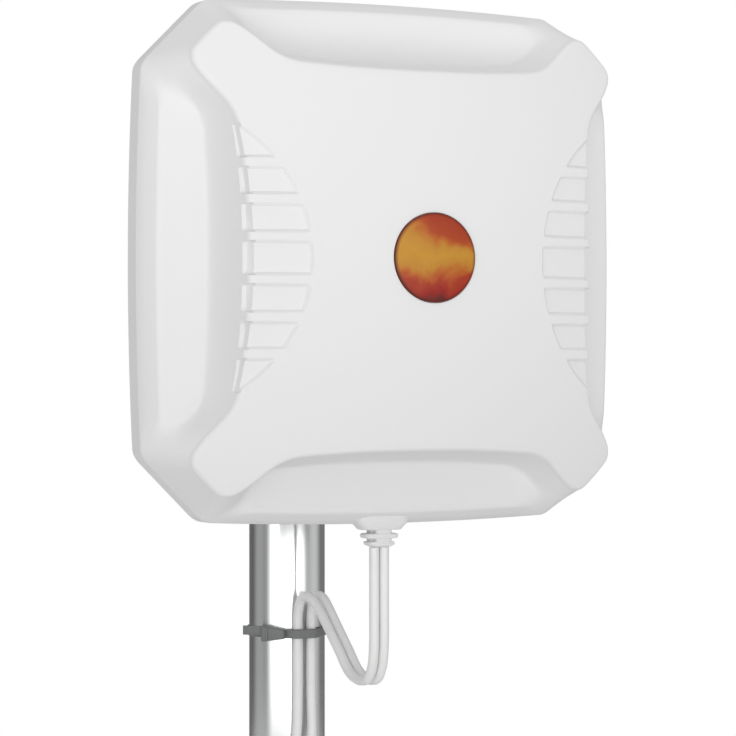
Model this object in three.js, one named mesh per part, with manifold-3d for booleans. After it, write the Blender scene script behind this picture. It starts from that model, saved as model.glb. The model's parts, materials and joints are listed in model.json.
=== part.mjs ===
// Flat-panel directional antenna, cross-polarised, on a short length of round mast.
//
// Millimetres, +Z up. The mast's axis is Z, its foot stands at the origin, and the antenna
// faces -Y. Inside the panel group the origin is the middle of the housing's rim plane,
// and the housing bulges forwards from it, towards -Y.

import * as THREE from 'three';
import { mergeVertices } from 'three/addons/utils/BufferGeometryUtils.js';
import Module from 'manifold-3d';

const wasm = await Module();
wasm.setup();

// Driving dimensions ---------------------------------------------------------------------

const GAP = 0.3;                    // clearance between touching pieces

const MAST_RADIUS = 20;
const MAST_WALL = 2;
const MAST_TOP = 560;
const CAP_FLANGE = 3;
const CAP_PLUG = 14;

const PANEL_HEIGHT = 480;           // centre of the housing above the mast's foot
const RIM_SETBACK = 102.5;          // rim plane in front of the mast's axis

const HALF_WIDTH = 128;             // at the middle of a side
const SIDE_END = 93.6;              // where the bulged side meets the 45 degree corner
const SIDE_BULGE = 2.4;             // how far the middle of a side stands out
const CORNER_ROUND = 3.5;           // from the corner to where its rounding starts
const CHAMFER_SUM = HALF_WIDTH - SIDE_BULGE + SIDE_END;
const SHELL = 3;
const RIM_DEPTH = 11;
const SHOULDER_START = 24;
const SHOULDER_END = 25.6;
const WALL_RUN = 7.5;               // how far the outer wall leans in before the shoulder
const DOME_APEX = 72.5;
const DOME_RADIUS = 383;

const WINDOW_DEPTH = 1.5;
const WINDOW_OUTER = 89.7;
const WINDOW_ARC_CENTRE = 136;
const WINDOW_ARC_RADIUS = 75;
const WINDOW_ROWS = [[-7.4, 7.4], [12.7, 24.8], [30.3, 42], [47.4, 58.6]];

const BADGE_RADIUS = 21.3;
const BADGE_FLOOR = 71.2;

const GASKET_THICKNESS = 1.6;
const COVER_FRONT = -(GASKET_THICKNESS + 2 * GAP);
const COVER_BACK = -10;
const COVER_FLOOR = -7.5;
const COVER_INSET = 6;
const SCREW_OFFSET = 55;
const SCREW_LINE = 116;
const SCREW_RADIUS = 1.7;
const BOSS_RADIUS = 4.5;
const BOSS_DEPTH = 12;

const REFLECTOR_HALF = 104;
const REFLECTOR_DEPTH = 4;
const REFLECTOR_WALL = 10;
const BOARD_HALF = 70;
const BOARD_DEPTH = 16;
const DRIVEN_HALF = 56;
const DRIVEN_DEPTH = 29;
const DIRECTOR_HALF = 46;
const DIRECTOR_DEPTH = 47;
const PLATE = 1.2;
const POST_OFFSET = 46;

const BOOT_DEPTH = 10.7;            // the boot's centre in front of the rim plane
const BOOT_NECK = 6.4;              // radius where the boot goes through the housing's wall
const NECK_TOP = -115;
const BOOT_END = -139.4;

const PIVOT_Y = -65;
const PIVOT_RADIUS = 4;
const LOCK_RADIUS = 3;
const LOCK_DROP = 22;
const TILT_LIMIT = 20;
const EAR_INNER = 24.4;             // inside face of the pole bracket's ears
const SHEET = 3;
const WEB_Y = -37;
const UBOLT_ROD = 3;
const UBOLT_BEND = MAST_RADIUS + UBOLT_ROD + 0.4;
const UBOLT_HEIGHTS = [-50, 32];
const UBOLT_END_Y = -51;

const CORD_RADIUS = 2.5;
const COIL_RADIUS = 42.2;
const COIL_HEIGHT = 150;
const COIL_LAYERS = 6;
const COIL_PITCH = 5.05;
const COIL_ROW = 3;                 // turns of one cord side by side
const COIL_BACK = MAST_RADIUS + 0.6;
const COIL_SECTION = COIL_LAYERS * COIL_PITCH;
const TAIL_X = -(COIL_SECTION - COIL_PITCH) / 2;
const TAIL_TOP = 123.4;
const TAIL_END = 75;

// Materials ------------------------------------------------------------------------------

const finish = (color, roughness, metalness) =>
  new THREE.MeshStandardMaterial({ color, roughness, metalness });

const WHITE_PLASTIC = finish(0xeeeeec, 0.5, 0);
const COVER_PLASTIC = finish(0xdededc, 0.55, 0);
const GASKET_RUBBER = finish(0x3a3b3c, 0.8, 0);
const SHEET_ALUMINIUM = finish(0xb9bcbf, 0.4, 0.9);
const PATCH_METAL = finish(0xb8863f, 0.4, 0.9);
const BOARD_GREEN = finish(0x2f6a45, 0.6, 0.1);
const POST_NYLON = finish(0xf2f0e6, 0.6, 0);
const CORD_WHITE = finish(0xe8e8e6, 0.55, 0);
const TIE_GREY = finish(0x6d6f70, 0.6, 0);
const POLISHED_STEEL = finish(0xc9cbce, 0.15, 1);
const BRACKET_STEEL = finish(0x9fa3a6, 0.4, 0.9);
const BOLT_STEEL = finish(0xc2c4c6, 0.3, 1);
const CAP_BLACK = finish(0x232425, 0.7, 0);
const CONNECTOR_GOLD = finish(0xd4a646, 0.3, 1);
const BADGE_ORANGE = finish(0xc2521e, 0.25, 0);

// Geometry helpers -----------------------------------------------------------------------

const at = (x, y, z) => new THREE.Vector3(x, y, z);

function bareGeometry(geometry) {
  const bare = geometry.clone();
  bare.deleteAttribute('normal');
  bare.deleteAttribute('uv');
  return mergeVertices(bare, 1e-4);
}

function signedVolume(geometry) {
  const position = geometry.attributes.position;
  const corner = [at(0, 0, 0), at(0, 0, 0), at(0, 0, 0)];
  let volume = 0;
  for (let i = 0; i < geometry.index.count; i += 3) {
    corner.forEach((point, k) => point.fromBufferAttribute(position, geometry.index.getX(i + k)));
    volume += corner[0].dot(corner[1].clone().cross(corner[2])) / 6;
  }
  return volume;
}

// The same surface with shared vertices and every face pointing out.
function outward(geometry) {
  const bare = bareGeometry(geometry);
  if (signedVolume(bare) < 0) {
    bare.setIndex(Array.from(bare.index.array).reverse());
  }
  return bare;
}

function solidOf(geometry) {
  const bare = outward(geometry);
  return new wasm.Manifold(new wasm.Mesh({
    numProp: 3,
    vertProperties: new Float32Array(bare.attributes.position.array),
    triVerts: new Uint32Array(bare.index.array),
  }));
}

function geometryOf(solid) {
  const mesh = solid.getMesh();
  const geometry = new THREE.BufferGeometry();
  geometry.setAttribute('position', new THREE.BufferAttribute(mesh.vertProperties, 3));
  geometry.setIndex(new THREE.BufferAttribute(mesh.triVerts, 1));
  return geometry;
}

const joined = geometries =>
  geometries.map(solidOf).reduce((whole, piece) => whole.add(piece));

const cut = (geometry, cutters) =>
  geometryOf(solidOf(geometry).subtract(joined(cutters)));

const join = geometries => geometryOf(joined(geometries));

// Surface through rings of points. A ring of one point is a pole that closes an end, and
// a wrapped loft runs from its last ring back to its first.
function loft(rings, wrap = false) {
  const starts = [];
  const positions = [];
  for (const ring of rings) {
    starts.push(positions.length / 3);
    ring.forEach(point => positions.push(point.x, point.y, point.z));
  }
  const indices = [];
  const bands = wrap ? rings.length : rings.length - 1;
  for (let band = 0; band < bands; band += 1) {
    const next = (band + 1) % rings.length;
    const count = Math.max(rings[band].length, rings[next].length);
    const vertex = (ring, i) => starts[ring] + (rings[ring].length === 1 ? 0 : i % count);
    for (let i = 0; i < count; i += 1) {
      const corners = [vertex(band, i), vertex(band, i + 1), vertex(next, i + 1), vertex(next, i)];
      if (corners[0] !== corners[1]) indices.push(corners[0], corners[1], corners[2]);
      if (corners[2] !== corners[3]) indices.push(corners[0], corners[2], corners[3]);
    }
  }
  const geometry = new THREE.BufferGeometry();
  geometry.setAttribute('position', new THREE.Float32BufferAttribute(positions, 3));
  geometry.setIndex(indices);
  return geometry;
}

function regularPolygon(sides, radius, turn = 0) {
  const points = [];
  for (let i = 0; i < sides; i += 1) {
    const angle = turn + (2 * Math.PI * i) / sides;
    points.push(new THREE.Vector2(radius * Math.cos(angle), radius * Math.sin(angle)));
  }
  return points;
}

function prism(points, height, holes = []) {
  const shape = new THREE.Shape(points);
  shape.holes = holes.map(hole => new THREE.Path(hole));
  return new THREE.ExtrudeGeometry(shape, { depth: height, bevelEnabled: false });
}

const hexPrism = (acrossFlats, height) =>
  prism(regularPolygon(6, acrossFlats / Math.sqrt(3), Math.PI / 6), height);

function block(width, depth, height, centre) {
  return new THREE.BoxGeometry(width, depth, height).translate(centre.x, centre.y, centre.z);
}

// Round bar from one point to another.
function bar(radius, from, to, sides = 24) {
  const length = from.distanceTo(to);
  const turn = new THREE.Quaternion().setFromUnitVectors(at(0, 1, 0), to.clone().sub(from).normalize());
  const middle = from.clone().add(to).multiplyScalar(0.5);
  return new THREE.CylinderGeometry(radius, radius, length, sides)
    .applyQuaternion(turn)
    .translate(middle.x, middle.y, middle.z);
}

function ring(inner, outer, height, sides = 24) {
  return prism(regularPolygon(sides, outer), height, [regularPolygon(sides, inner)]);
}

function tube(points, radius, steps, sides) {
  const path = new THREE.CatmullRomCurve3(points, false, 'centripetal');
  const section = new THREE.Shape(regularPolygon(sides, radius));
  return new THREE.ExtrudeGeometry(section, { extrudePath: path, steps, bevelEnabled: false });
}

const root = new THREE.Group();
const panel = new THREE.Group();
panel.position.set(0, -RIM_SETBACK, PANEL_HEIGHT);
root.add(panel);

function place(parent, name, geometry, material, position = at(0, 0, 0)) {
  const mesh = new THREE.Mesh(outward(geometry), material.clone());
  mesh.name = name;
  mesh.position.copy(position);
  parent.add(mesh);
  return mesh;
}

// Housing outlines -----------------------------------------------------------------------
// An outline is given over one eighth of the way round, as (t, h): t along the side from
// its middle, h out from the housing's centre. The diagonal t = h ends the eighth.

const SIDE_STATIONS = [0, 36, 62, 76, 88];

function rimEighth(inset) {
  const start = SIDE_END - CORNER_ROUND;
  const halfWidth = t => HALF_WIDTH - SIDE_BULGE * (t / SIDE_END) ** 2;
  const points = SIDE_STATIONS.map(t => new THREE.Vector2(t, halfWidth(t)));
  const bend = new THREE.QuadraticBezierCurve(
    new THREE.Vector2(start, halfWidth(start)),
    new THREE.Vector2(SIDE_END, CHAMFER_SUM - SIDE_END),
    new THREE.Vector2(SIDE_END + CORNER_ROUND, CHAMFER_SUM - SIDE_END - CORNER_ROUND),
  );
  points.push(bend.getPoint(0.6));
  points.push(new THREE.Vector2(CHAMFER_SUM / 2, CHAMFER_SUM / 2));
  return insetEighth(points, inset);
}

const PLATEAU_SPLINE = new THREE.SplineCurve([
  [0, 91.3], [30, 91.7], [48, 92.7], [60, 93.6], [66, 94.7], [73, 98],
  [80, 103.9], [85, 108], [90, 111.3], [94.8, 112.3], [98.8, 111], [105.2, 105.2],
].map(([t, h]) => new THREE.Vector2(t, h)));

const LOBE_TIP = 94.8;              // where a corner lobe reaches farthest out

function plateauEighth(inset) {
  const samples = PLATEAU_SPLINE.getPoints(400);
  const atSide = t => samples.find(point => point.x >= t).clone();
  const points = SIDE_STATIONS.map(atSide);
  points.push(atSide(LOBE_TIP), samples.at(-1).clone());
  return insetEighth(points, inset);
}

// Moves an eighth inwards: straight in along the side, and along the diagonal at the corner.
function insetEighth(points, inset) {
  const last = points.length - 1;
  return points.map((point, i) => {
    const cornerShare = Math.max(0, (i - last + 3) / 3);
    const alongSide = inset * cornerShare * Math.SQRT1_2;
    const across = inset * (1 - cornerShare * (1 - Math.SQRT1_2));
    return new THREE.Vector2(point.x - alongSide, point.y - across);
  });
}

// The whole outline as (x, z), from its eighth.
function fullOutline(eighth) {
  const mirrored = eighth.slice(0, -1).reverse().map(point => new THREE.Vector2(point.y, point.x));
  const quarter = [...eighth, ...mirrored];
  const outline = [];
  for (let turn = 0; turn < 4; turn += 1) {
    const angle = -turn * Math.PI / 2;
    quarter.slice(0, -1).forEach(point => {
      outline.push(point.clone().rotateAround(new THREE.Vector2(), angle));
    });
  }
  return outline;
}

const domeDepth = (x, z) =>
  DOME_APEX - DOME_RADIUS + Math.sqrt(DOME_RADIUS ** 2 - x ** 2 - z ** 2);

// Depth profile ----------------------------------------------------------------------------
// Between the rim and the plateau the surface climbs the outer wall, crosses the shoulder
// and climbs the riser. Where the rim and the plateau come close, at the corners, it is one
// plain sloping wall. A station is [share of the wall run, share of the riser run, depth].

const RISER_RUN = 8;
const WALL_STATIONS = [
  [0, 0, RIM_DEPTH],
  [0.65, 0, 21.3],
  [1, 0, SHOULDER_START],
  [1, 1, SHOULDER_END],
];
const RISER_STATIONS = [[0.78, 28], [0.38, 45]];
const BAY_WIDTH = 30;
const CORNER_WIDTH = 13;

function profileAt(width, plateauDepth) {
  const corner = 1 - THREE.MathUtils.smoothstep(width, CORNER_WIDTH, BAY_WIDTH);
  const bay = WALL_STATIONS.map(([wall, shoulder, depth]) =>
    [(wall * WALL_RUN + shoulder * Math.max(0, width - WALL_RUN - RISER_RUN)) / width, depth]);
  RISER_STATIONS.forEach(([run, depth]) => bay.push([1 - run * RISER_RUN / width, depth]));
  return bay.map(([share, depth], k) => {
    const plainShare = k / bay.length;
    const plainDepth = RIM_DEPTH + (plateauDepth - RIM_DEPTH) * plainShare;
    return [
      THREE.MathUtils.lerp(share, plainShare, corner),
      THREE.MathUtils.lerp(Math.min(depth, plateauDepth), plainDepth, corner),
    ];
  });
}

// Rings of the radome's surface, from its pole down to the rim plane, inset by a thickness.
const DOME_RINGS = [0.35, 0.7, 1];

function radomeRings(inset, domeRings = DOME_RINGS) {
  const rim = fullOutline(rimEighth(inset));
  const edge = fullOutline(plateauEighth(inset));
  const rings = [[at(0, inset - DOME_APEX, 0)]];
  domeRings.forEach(share => {
    rings.push(edge.map(point => {
      const [x, z] = [point.x * share, point.y * share];
      return at(x, inset - domeDepth(x, z), z);
    }));
  });
  const profiles = rim.map((point, i) => {
    const width = point.distanceTo(edge[i]);
    return profileAt(width, domeDepth(edge[i].x, edge[i].y));
  });
  for (let k = profiles[0].length - 1; k >= 0; k -= 1) {
    rings.push(rim.map((point, i) => {
      const [share, depth] = profiles[i][k];
      const flat = point.clone().lerp(edge[i], share);
      return at(flat.x, inset - depth, flat.y);
    }));
  }
  rings.push(rim.map(point => at(point.x, 0, point.y)));
  return rings;
}

// Radome -----------------------------------------------------------------------------------

// Outline of one window in the plateau, grown by a margin, for the +X side.
function windowOutline([low, high], grow) {
  const arcSteps = 2;
  const points = [
    new THREE.Vector2(WINDOW_OUTER + grow, low - grow),
    new THREE.Vector2(WINDOW_OUTER + grow, high + grow),
  ];
  for (let step = 0; step <= arcSteps; step += 1) {
    const z = THREE.MathUtils.lerp(high + grow, low - grow, step / arcSteps);
    const reach = Math.sqrt((WINDOW_ARC_RADIUS + grow) ** 2 - z ** 2);
    points.push(new THREE.Vector2(Math.min(WINDOW_ARC_CENTRE - reach, WINDOW_OUTER), z));
  }
  return points;
}

function windowCutter(row, side) {
  const wallSlope = WINDOW_DEPTH / 2;
  const above = 1;
  const middle = 83;
  const lift = (outline, offset) =>
    outline.map(point => at(side * point.x, -offset - domeDepth(point.x, point.y), point.y));
  const floor = lift(windowOutline(row, -wallSlope), -WINDOW_DEPTH);
  const mouth = lift(windowOutline(row, wallSlope + above), above);
  const centre = (row[0] + row[1]) / 2;
  const pole = offset => [at(side * middle, -offset - domeDepth(middle, centre), centre)];
  return loft([pole(-WINDOW_DEPTH), floor, mouth, pole(above)]);
}

const mirroredRows = WINDOW_ROWS.concat(WINDOW_ROWS.slice(1).map(([low, high]) => [-high, -low]));

// Two screws along the top edge of the cover, two along the bottom and one on each side.
const SCREW_PLACES = [-1, 1].flatMap(side => [
  [-SCREW_OFFSET, side * SCREW_LINE],
  [SCREW_OFFSET, side * SCREW_LINE],
  [side * SCREW_LINE, 0],
]);

// Web that ties a screw boss to the nearest side wall.
function bossRib(x, z) {
  const [thickness, reach] = [2.4, 10];
  const onSide = Math.abs(x) > Math.abs(z);
  const centre = at(onSide ? x + Math.sign(x) * reach / 2 : x, -BOSS_DEPTH / 2,
    onSide ? z : z + Math.sign(z) * reach / 2);
  return block(onSide ? reach : thickness, BOSS_DEPTH, onSide ? thickness : reach, centre);
}

function radome() {
  const outer = radomeRings(0);
  const inner = radomeRings(SHELL, [0.5, 1]).reverse();
  const shell = solidOf(loft([...outer, ...inner]));
  const bosses = SCREW_PLACES.flatMap(([x, z]) => [
    bar(BOSS_RADIUS, at(x, 0, z), at(x, -BOSS_DEPTH, z), 12),
    bossRib(x, z),
  ]);
  const holes = SCREW_PLACES.map(([x, z]) =>
    bar(SCREW_RADIUS + GAP, at(x, 1, z), at(x, 1 - BOSS_DEPTH, z), 10));
  const above = 5;
  const windows = [-1, 1].flatMap(side => mirroredRows.map(row => windowCutter(row, side)));
  const badgeSeat = bar(BADGE_RADIUS + GAP, at(0, -BADGE_FLOOR, 0), at(0, -DOME_APEX - above, 0), 40);
  const cableHole = bar(BOOT_NECK + GAP, at(0, -BOOT_DEPTH, -HALF_WIDTH - above),
    at(0, -BOOT_DEPTH, NECK_TOP), 24);
  return geometryOf(shell.add(joined(bosses)).subtract(joined([...holes, ...windows, badgeSeat, cableHole])));
}

place(panel, 'radome', radome(), WHITE_PLASTIC);

// Badge: a plain domed disc in a round seat at the top of the dome.
function badge() {
  const back = BADGE_FLOOR + GAP;
  const rim = DOME_APEX + 0.5 - back;
  const shoulder = DOME_APEX + 1.2 - back;
  const top = DOME_APEX + 1.5 - back;
  const profile = [[0, 0], [1, 0], [1, rim], [0.8, shoulder], [0, top]];
  const points = profile.map(([share, height]) => new THREE.Vector2(share * BADGE_RADIUS, height));
  return new THREE.LatheGeometry(points, 32).rotateX(Math.PI);
}

place(panel, 'badge', badge(), BADGE_ORANGE, at(0, -BADGE_FLOOR - GAP, 0));

// Rear of the housing ----------------------------------------------------------------------

const outlineRing = (inset, depth) =>
  fullOutline(rimEighth(inset)).map(point => at(point.x, -depth, point.y));

const GASKET_OUTER = 1.2;
const GASKET_INNER = 3.4;

place(panel, 'rim_gasket', loft([
  outlineRing(GASKET_OUTER, -GAP),
  outlineRing(GASKET_INNER, -GAP),
  outlineRing(GASKET_INNER, COVER_FRONT + GAP),
  outlineRing(GASKET_OUTER, COVER_FRONT + GAP),
], true), GASKET_RUBBER);

const VENT_PLACE = [62, -84];
const VENT_RADIUS = 4;
const BRACKET_BOLTS = [[-18, -32], [18, -32], [-18, 32], [18, 32]];
const BOLT_RADIUS = 2.5;
const BOLT_BOSS_RADIUS = 5;
const BOLT_BOSS_END = -4.4;         // how far forward a bolt's boss stands inside the cover
const SCREW_HEAD_RADIUS = 3.2;
const SCREW_SINK = 2.6;             // depth of a cover screw's counterbore

function rearCover() {
  const edge = 1.4;
  const bevel = 1.4;
  const bevelDepth = -6;
  const landWidth = 16;
  const pan = loft([
    [at(0, -COVER_BACK, 0)],
    outlineRing(COVER_INSET, COVER_BACK),
    outlineRing(edge + bevel, bevelDepth),
    outlineRing(edge, COVER_FRONT),
    outlineRing(landWidth, COVER_FRONT),
    outlineRing(landWidth + 1, COVER_FLOOR),
    [at(0, -COVER_FLOOR, 0)],
  ]);
  const behind = 2 - COVER_BACK;
  const drilled = (radius, [x, z], sides, front = 0) => bar(radius, at(x, front, z), at(x, behind, z), sides);
  const screwHoles = SCREW_PLACES.flatMap(hole => [
    drilled(SCREW_RADIUS + GAP, hole, 10),
    drilled(SCREW_HEAD_RADIUS + 0.4, hole, 14, -COVER_BACK - SCREW_SINK),
  ]);
  const boltHoles = BRACKET_BOLTS.map(hole => drilled(BOLT_RADIUS + GAP, hole, 12));
  const vent = drilled(VENT_RADIUS + GAP, VENT_PLACE, 20);
  const bosses = BRACKET_BOLTS.map(([x, z]) =>
    bar(BOLT_BOSS_RADIUS, at(x, -COVER_BACK - 1, z), at(x, -BOLT_BOSS_END, z), 12));
  return cut(join([pan, ...bosses]), [...screwHoles, ...boltHoles, vent]);
}

place(panel, 'rear_cover', rearCover(), COVER_PLASTIC);

function coverScrew() {
  const headHeight = 2;
  const length = 15;
  const driveRadius = 1.5;
  const driveDepth = 1;
  const head = bar(SCREW_HEAD_RADIUS, at(0, 0, 0), at(0, headHeight, 0), 14);
  const shank = bar(SCREW_RADIUS, at(0, 0.5, 0), at(0, -length, 0), 8);
  const recess = prism(regularPolygon(6, driveRadius), headHeight).rotateX(-Math.PI / 2)
    .translate(0, headHeight - driveDepth, 0);
  return cut(join([head, shank]), [recess]);
}

SCREW_PLACES.forEach(([x, z], i) => {
  place(panel, `cover_screw_${i + 1}`, coverScrew(), BOLT_STEEL,
    at(x, -COVER_BACK - SCREW_SINK + GAP, z));
});

const VENT_CAP_RADIUS = 6.5;
const VENT_CAP_HEIGHT = 2.6;
const ventPlug = join([
  bar(VENT_RADIUS, at(0, -3, 0), at(0, 1, 0), 20),
  bar(VENT_CAP_RADIUS, at(0, GAP, 0), at(0, VENT_CAP_HEIGHT, 0), 24),
]);
place(panel, 'vent_plug', ventPlug, CAP_BLACK, at(VENT_PLACE[0], -COVER_BACK, VENT_PLACE[1]));

// Radiating parts inside the housing ---------------------------------------------------------

const POSTS = [[-1, -1], [1, -1], [-1, 1], [1, 1]].map(([x, z]) => [x * POST_OFFSET, z * POST_OFFSET]);

function squarePlate(half, depth, cutters) {
  return cut(block(2 * half, PLATE, 2 * half, at(0, -depth - PLATE / 2, 0)), cutters);
}

function reflectorTray() {
  const outer = block(2 * REFLECTOR_HALF, REFLECTOR_WALL, 2 * REFLECTOR_HALF,
    at(0, -REFLECTOR_DEPTH - REFLECTOR_WALL / 2, 0));
  const hollow = block(2 * (REFLECTOR_HALF - PLATE), REFLECTOR_WALL, 2 * (REFLECTOR_HALF - PLATE),
    at(0, -REFLECTOR_DEPTH - PLATE - REFLECTOR_WALL / 2, 0));
  const [notchWidth, notchDepth, notchHeight] = [16, 20, 30];
  const leadNotch = block(notchWidth, notchDepth, notchHeight,
    at(0, -REFLECTOR_DEPTH - PLATE - notchDepth / 2, -REFLECTOR_HALF));
  return cut(outer, [hollow, leadNotch]);
}

place(panel, 'reflector_tray', reflectorTray(), SHEET_ALUMINIUM);

const CENTRE_POST_RADIUS = 5;
const CENTRE_COLLAR_RADIUS = 8;
const POST_RADIUS = 2.5;
const POST_COLLAR_RADIUS = 4.5;
const POST_HEAD = 2;                // how far a post stands out of the last plate it holds
const centreBore = bar(CENTRE_POST_RADIUS + GAP, at(0, 0, 0), at(0, -DOME_APEX, 0), 12);
const postBores = POSTS.map(([x, z]) => bar(POST_RADIUS + GAP, at(x, 0, z), at(x, -DRIVEN_DEPTH, z), 12));
place(panel, 'feed_board', squarePlate(BOARD_HALF, BOARD_DEPTH, [centreBore, ...postBores]), BOARD_GREEN);
place(panel, 'driven_patch', squarePlate(DRIVEN_HALF, DRIVEN_DEPTH, [centreBore]), PATCH_METAL)
  .rotation.y = Math.PI / 4;
place(panel, 'director_patch', squarePlate(DIRECTOR_HALF, DIRECTOR_DEPTH, [centreBore]), PATCH_METAL)
  .rotation.y = Math.PI / 4;

// A nylon post: wide between two plates, narrow where it passes through one.
function boardPost() {
  const foot = REFLECTOR_DEPTH + PLATE + GAP;
  return join([
    bar(POST_COLLAR_RADIUS, at(0, -foot, 0), at(0, -BOARD_DEPTH + GAP, 0), 16),
    bar(POST_RADIUS, at(0, -foot, 0), at(0, -BOARD_DEPTH - PLATE - POST_HEAD, 0), 12),
  ]);
}

POSTS.forEach(([x, z], i) => place(panel, `board_post_${i + 1}`, boardPost(), POST_NYLON, at(x, 0, z)));

function centrePost() {
  const foot = REFLECTOR_DEPTH + PLATE + GAP;
  return join([
    bar(CENTRE_POST_RADIUS, at(0, -foot, 0), at(0, -DIRECTOR_DEPTH - PLATE - POST_HEAD, 0), 12),
    bar(CENTRE_COLLAR_RADIUS, at(0, -BOARD_DEPTH - PLATE - GAP, 0), at(0, -DRIVEN_DEPTH + GAP, 0), 12),
    bar(CENTRE_COLLAR_RADIUS, at(0, -DRIVEN_DEPTH - PLATE - GAP, 0), at(0, -DIRECTOR_DEPTH + GAP, 0), 12),
  ]);
}

place(panel, 'centre_post', centrePost(), POST_NYLON);

// One probe for each polarisation, from the board up to the driven patch.
const PROBE_REACH = 24;
const PROBE_RADIUS = 1.2;
[-1, 1].forEach((side, i) => {
  const probe = bar(PROBE_RADIUS, at(0, -BOARD_DEPTH - PLATE - GAP, 0), at(0, -DRIVEN_DEPTH + GAP, 0), 12);
  place(panel, `feed_probe_${i + 1}`, probe, PATCH_METAL, at(side * PROBE_REACH, 0, -PROBE_REACH));
});

// The two leads inside the housing, from the board's lower edge down to the boot.
[-1, 1].forEach((side, i) => {
  const route = [[18, 11, -52], [18, 11, -64], [13, 11, -82], [5, 11, -98], [2.9, 10.7, -108],
    [2.9, 10.7, -116.4]].map(([x, depth, z]) => at(side * x, -depth, z));
  place(panel, `inner_lead_${i + 1}`, tube(route, CORD_RADIUS, 8, 10), CORD_WHITE);
});

// Strain relief boot, under the housing --------------------------------------------------------

// An oval of a given half width along X and half depth along Y, at a height.
function oval(halfWidth, halfDepth, z) {
  return regularPolygon(16, 1).map(point =>
    at(halfWidth * point.x, -BOOT_DEPTH + halfDepth * point.y, z));
}

function strainRelief() {
  const pole = z => [at(0, -BOOT_DEPTH, z)];
  const disc = (halfWidth, halfDepth, top, bottom, taper) => loft([
    pole(top),
    oval(halfWidth, halfDepth, top),
    oval(halfWidth - taper, halfDepth - taper, bottom),
    pole(bottom),
  ]);
  const pad = disc(14.5, 9, -123, -130.8, 3.6);
  const housing = loft([...radomeRings(-GAP), [at(0, 0, 0)]]);
  const shapedPad = solidOf(pad).subtract(solidOf(housing));
  const core = disc(5.4, 3.6, -129, BOOT_END, 0.2);
  const rings = [disc(9, 6.4, -132.2, -134.4, 0.6), disc(7.2, 5.4, -136, -138.2, 0.8)];
  const neck = bar(BOOT_NECK, at(0, -BOOT_DEPTH, -129.5), at(0, -BOOT_DEPTH, NECK_TOP - 2), 16);
  return geometryOf(shapedPad.add(joined([core, ...rings, neck])));
}

place(panel, 'strain_relief_boot', strainRelief(), WHITE_PLASTIC);

// Tilt bracket -----------------------------------------------------------------------------------
// The antenna bracket is screwed to the rear cover and tilts with the housing. The pole
// bracket stays with the mast clamp. Both are bent from sheet, and their ears meet at the
// pivot, with the lock bolt in an arc slot below it.

const bracket = new THREE.Group();
bracket.position.set(0, 0, PANEL_HEIGHT);
root.add(bracket);

// Turns a shape drawn in XY and extruded along Z into one drawn in YZ and extruded along X.
const Z_TO_X = new THREE.Matrix4().makeBasis(at(0, 1, 0), at(0, 0, 1), at(1, 0, 0));

// A flat ear in the YZ plane, with cut corners beyond the pivot, its inner face at x.
function ear(rootY, low, high, nose, x) {
  const outline = new THREE.Shape();
  const tip = PIVOT_Y + nose * 15;
  const cornerCut = nose * 6;
  outline.moveTo(rootY, low);
  outline.lineTo(tip - cornerCut, low);
  outline.lineTo(tip, low + 10);
  outline.lineTo(tip, high - 8);
  outline.lineTo(tip - cornerCut, high);
  outline.lineTo(rootY, high);
  const solid = new THREE.ExtrudeGeometry(outline, { depth: SHEET, bevelEnabled: false });
  return solid.applyMatrix4(Z_TO_X).translate(x, 0, 0);
}

const acrossEars = (radius, y, z) => bar(radius, at(-40, y, z), at(40, y, z), 16);

// Arc slot about the pivot, cut through both ears, straight below it at its middle.
function lockSlot() {
  const half = THREE.MathUtils.degToRad(TILT_LIMIT + 2);
  const width = LOCK_RADIUS + 0.4;
  const steps = 6;
  const outline = [];
  for (const [radius, turn] of [[LOCK_DROP + width, 1], [LOCK_DROP - width, -1]]) {
    for (let step = 0; step <= steps; step += 1) {
      const angle = turn * half * (2 * step / steps - 1) - Math.PI / 2;
      outline.push(new THREE.Vector2(PIVOT_Y + radius * Math.cos(angle), radius * Math.sin(angle)));
    }
  }
  const slot = prism(outline, 80).applyMatrix4(Z_TO_X).translate(-40, 0, 0);
  const ends = [-half, half].map(turn => acrossEars(width,
    PIVOT_Y + LOCK_DROP * Math.sin(turn), -LOCK_DROP * Math.cos(turn)));
  return [slot, ...ends];
}

const COVER_FACE = -RIM_SETBACK - COVER_BACK;
const EAR_LOW = -36;
const EAR_HIGH = 18;
const PLATE_HEIGHT = 84;
const WEB_HEIGHT = 106;

function antennaBracket() {
  const inner = EAR_INNER + SHEET + 0.6;
  const faceY = COVER_FACE + GAP;
  const plate = block(2 * (inner + SHEET), SHEET, PLATE_HEIGHT, at(0, faceY + SHEET / 2, 0));
  const ears = [inner, -inner - SHEET].map(x => ear(faceY, EAR_LOW, EAR_HIGH, 1, x));
  const bolts = BRACKET_BOLTS.map(([x, z]) =>
    bar(BOLT_RADIUS + GAP, at(x, faceY - 1, z), at(x, faceY + SHEET + 2, z), 16));
  return cut(join([plate, ...ears]), [...bolts, acrossEars(PIVOT_RADIUS + GAP, PIVOT_Y, 0), ...lockSlot()]);
}

place(bracket, 'antenna_bracket', antennaBracket(), BRACKET_STEEL);

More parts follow.
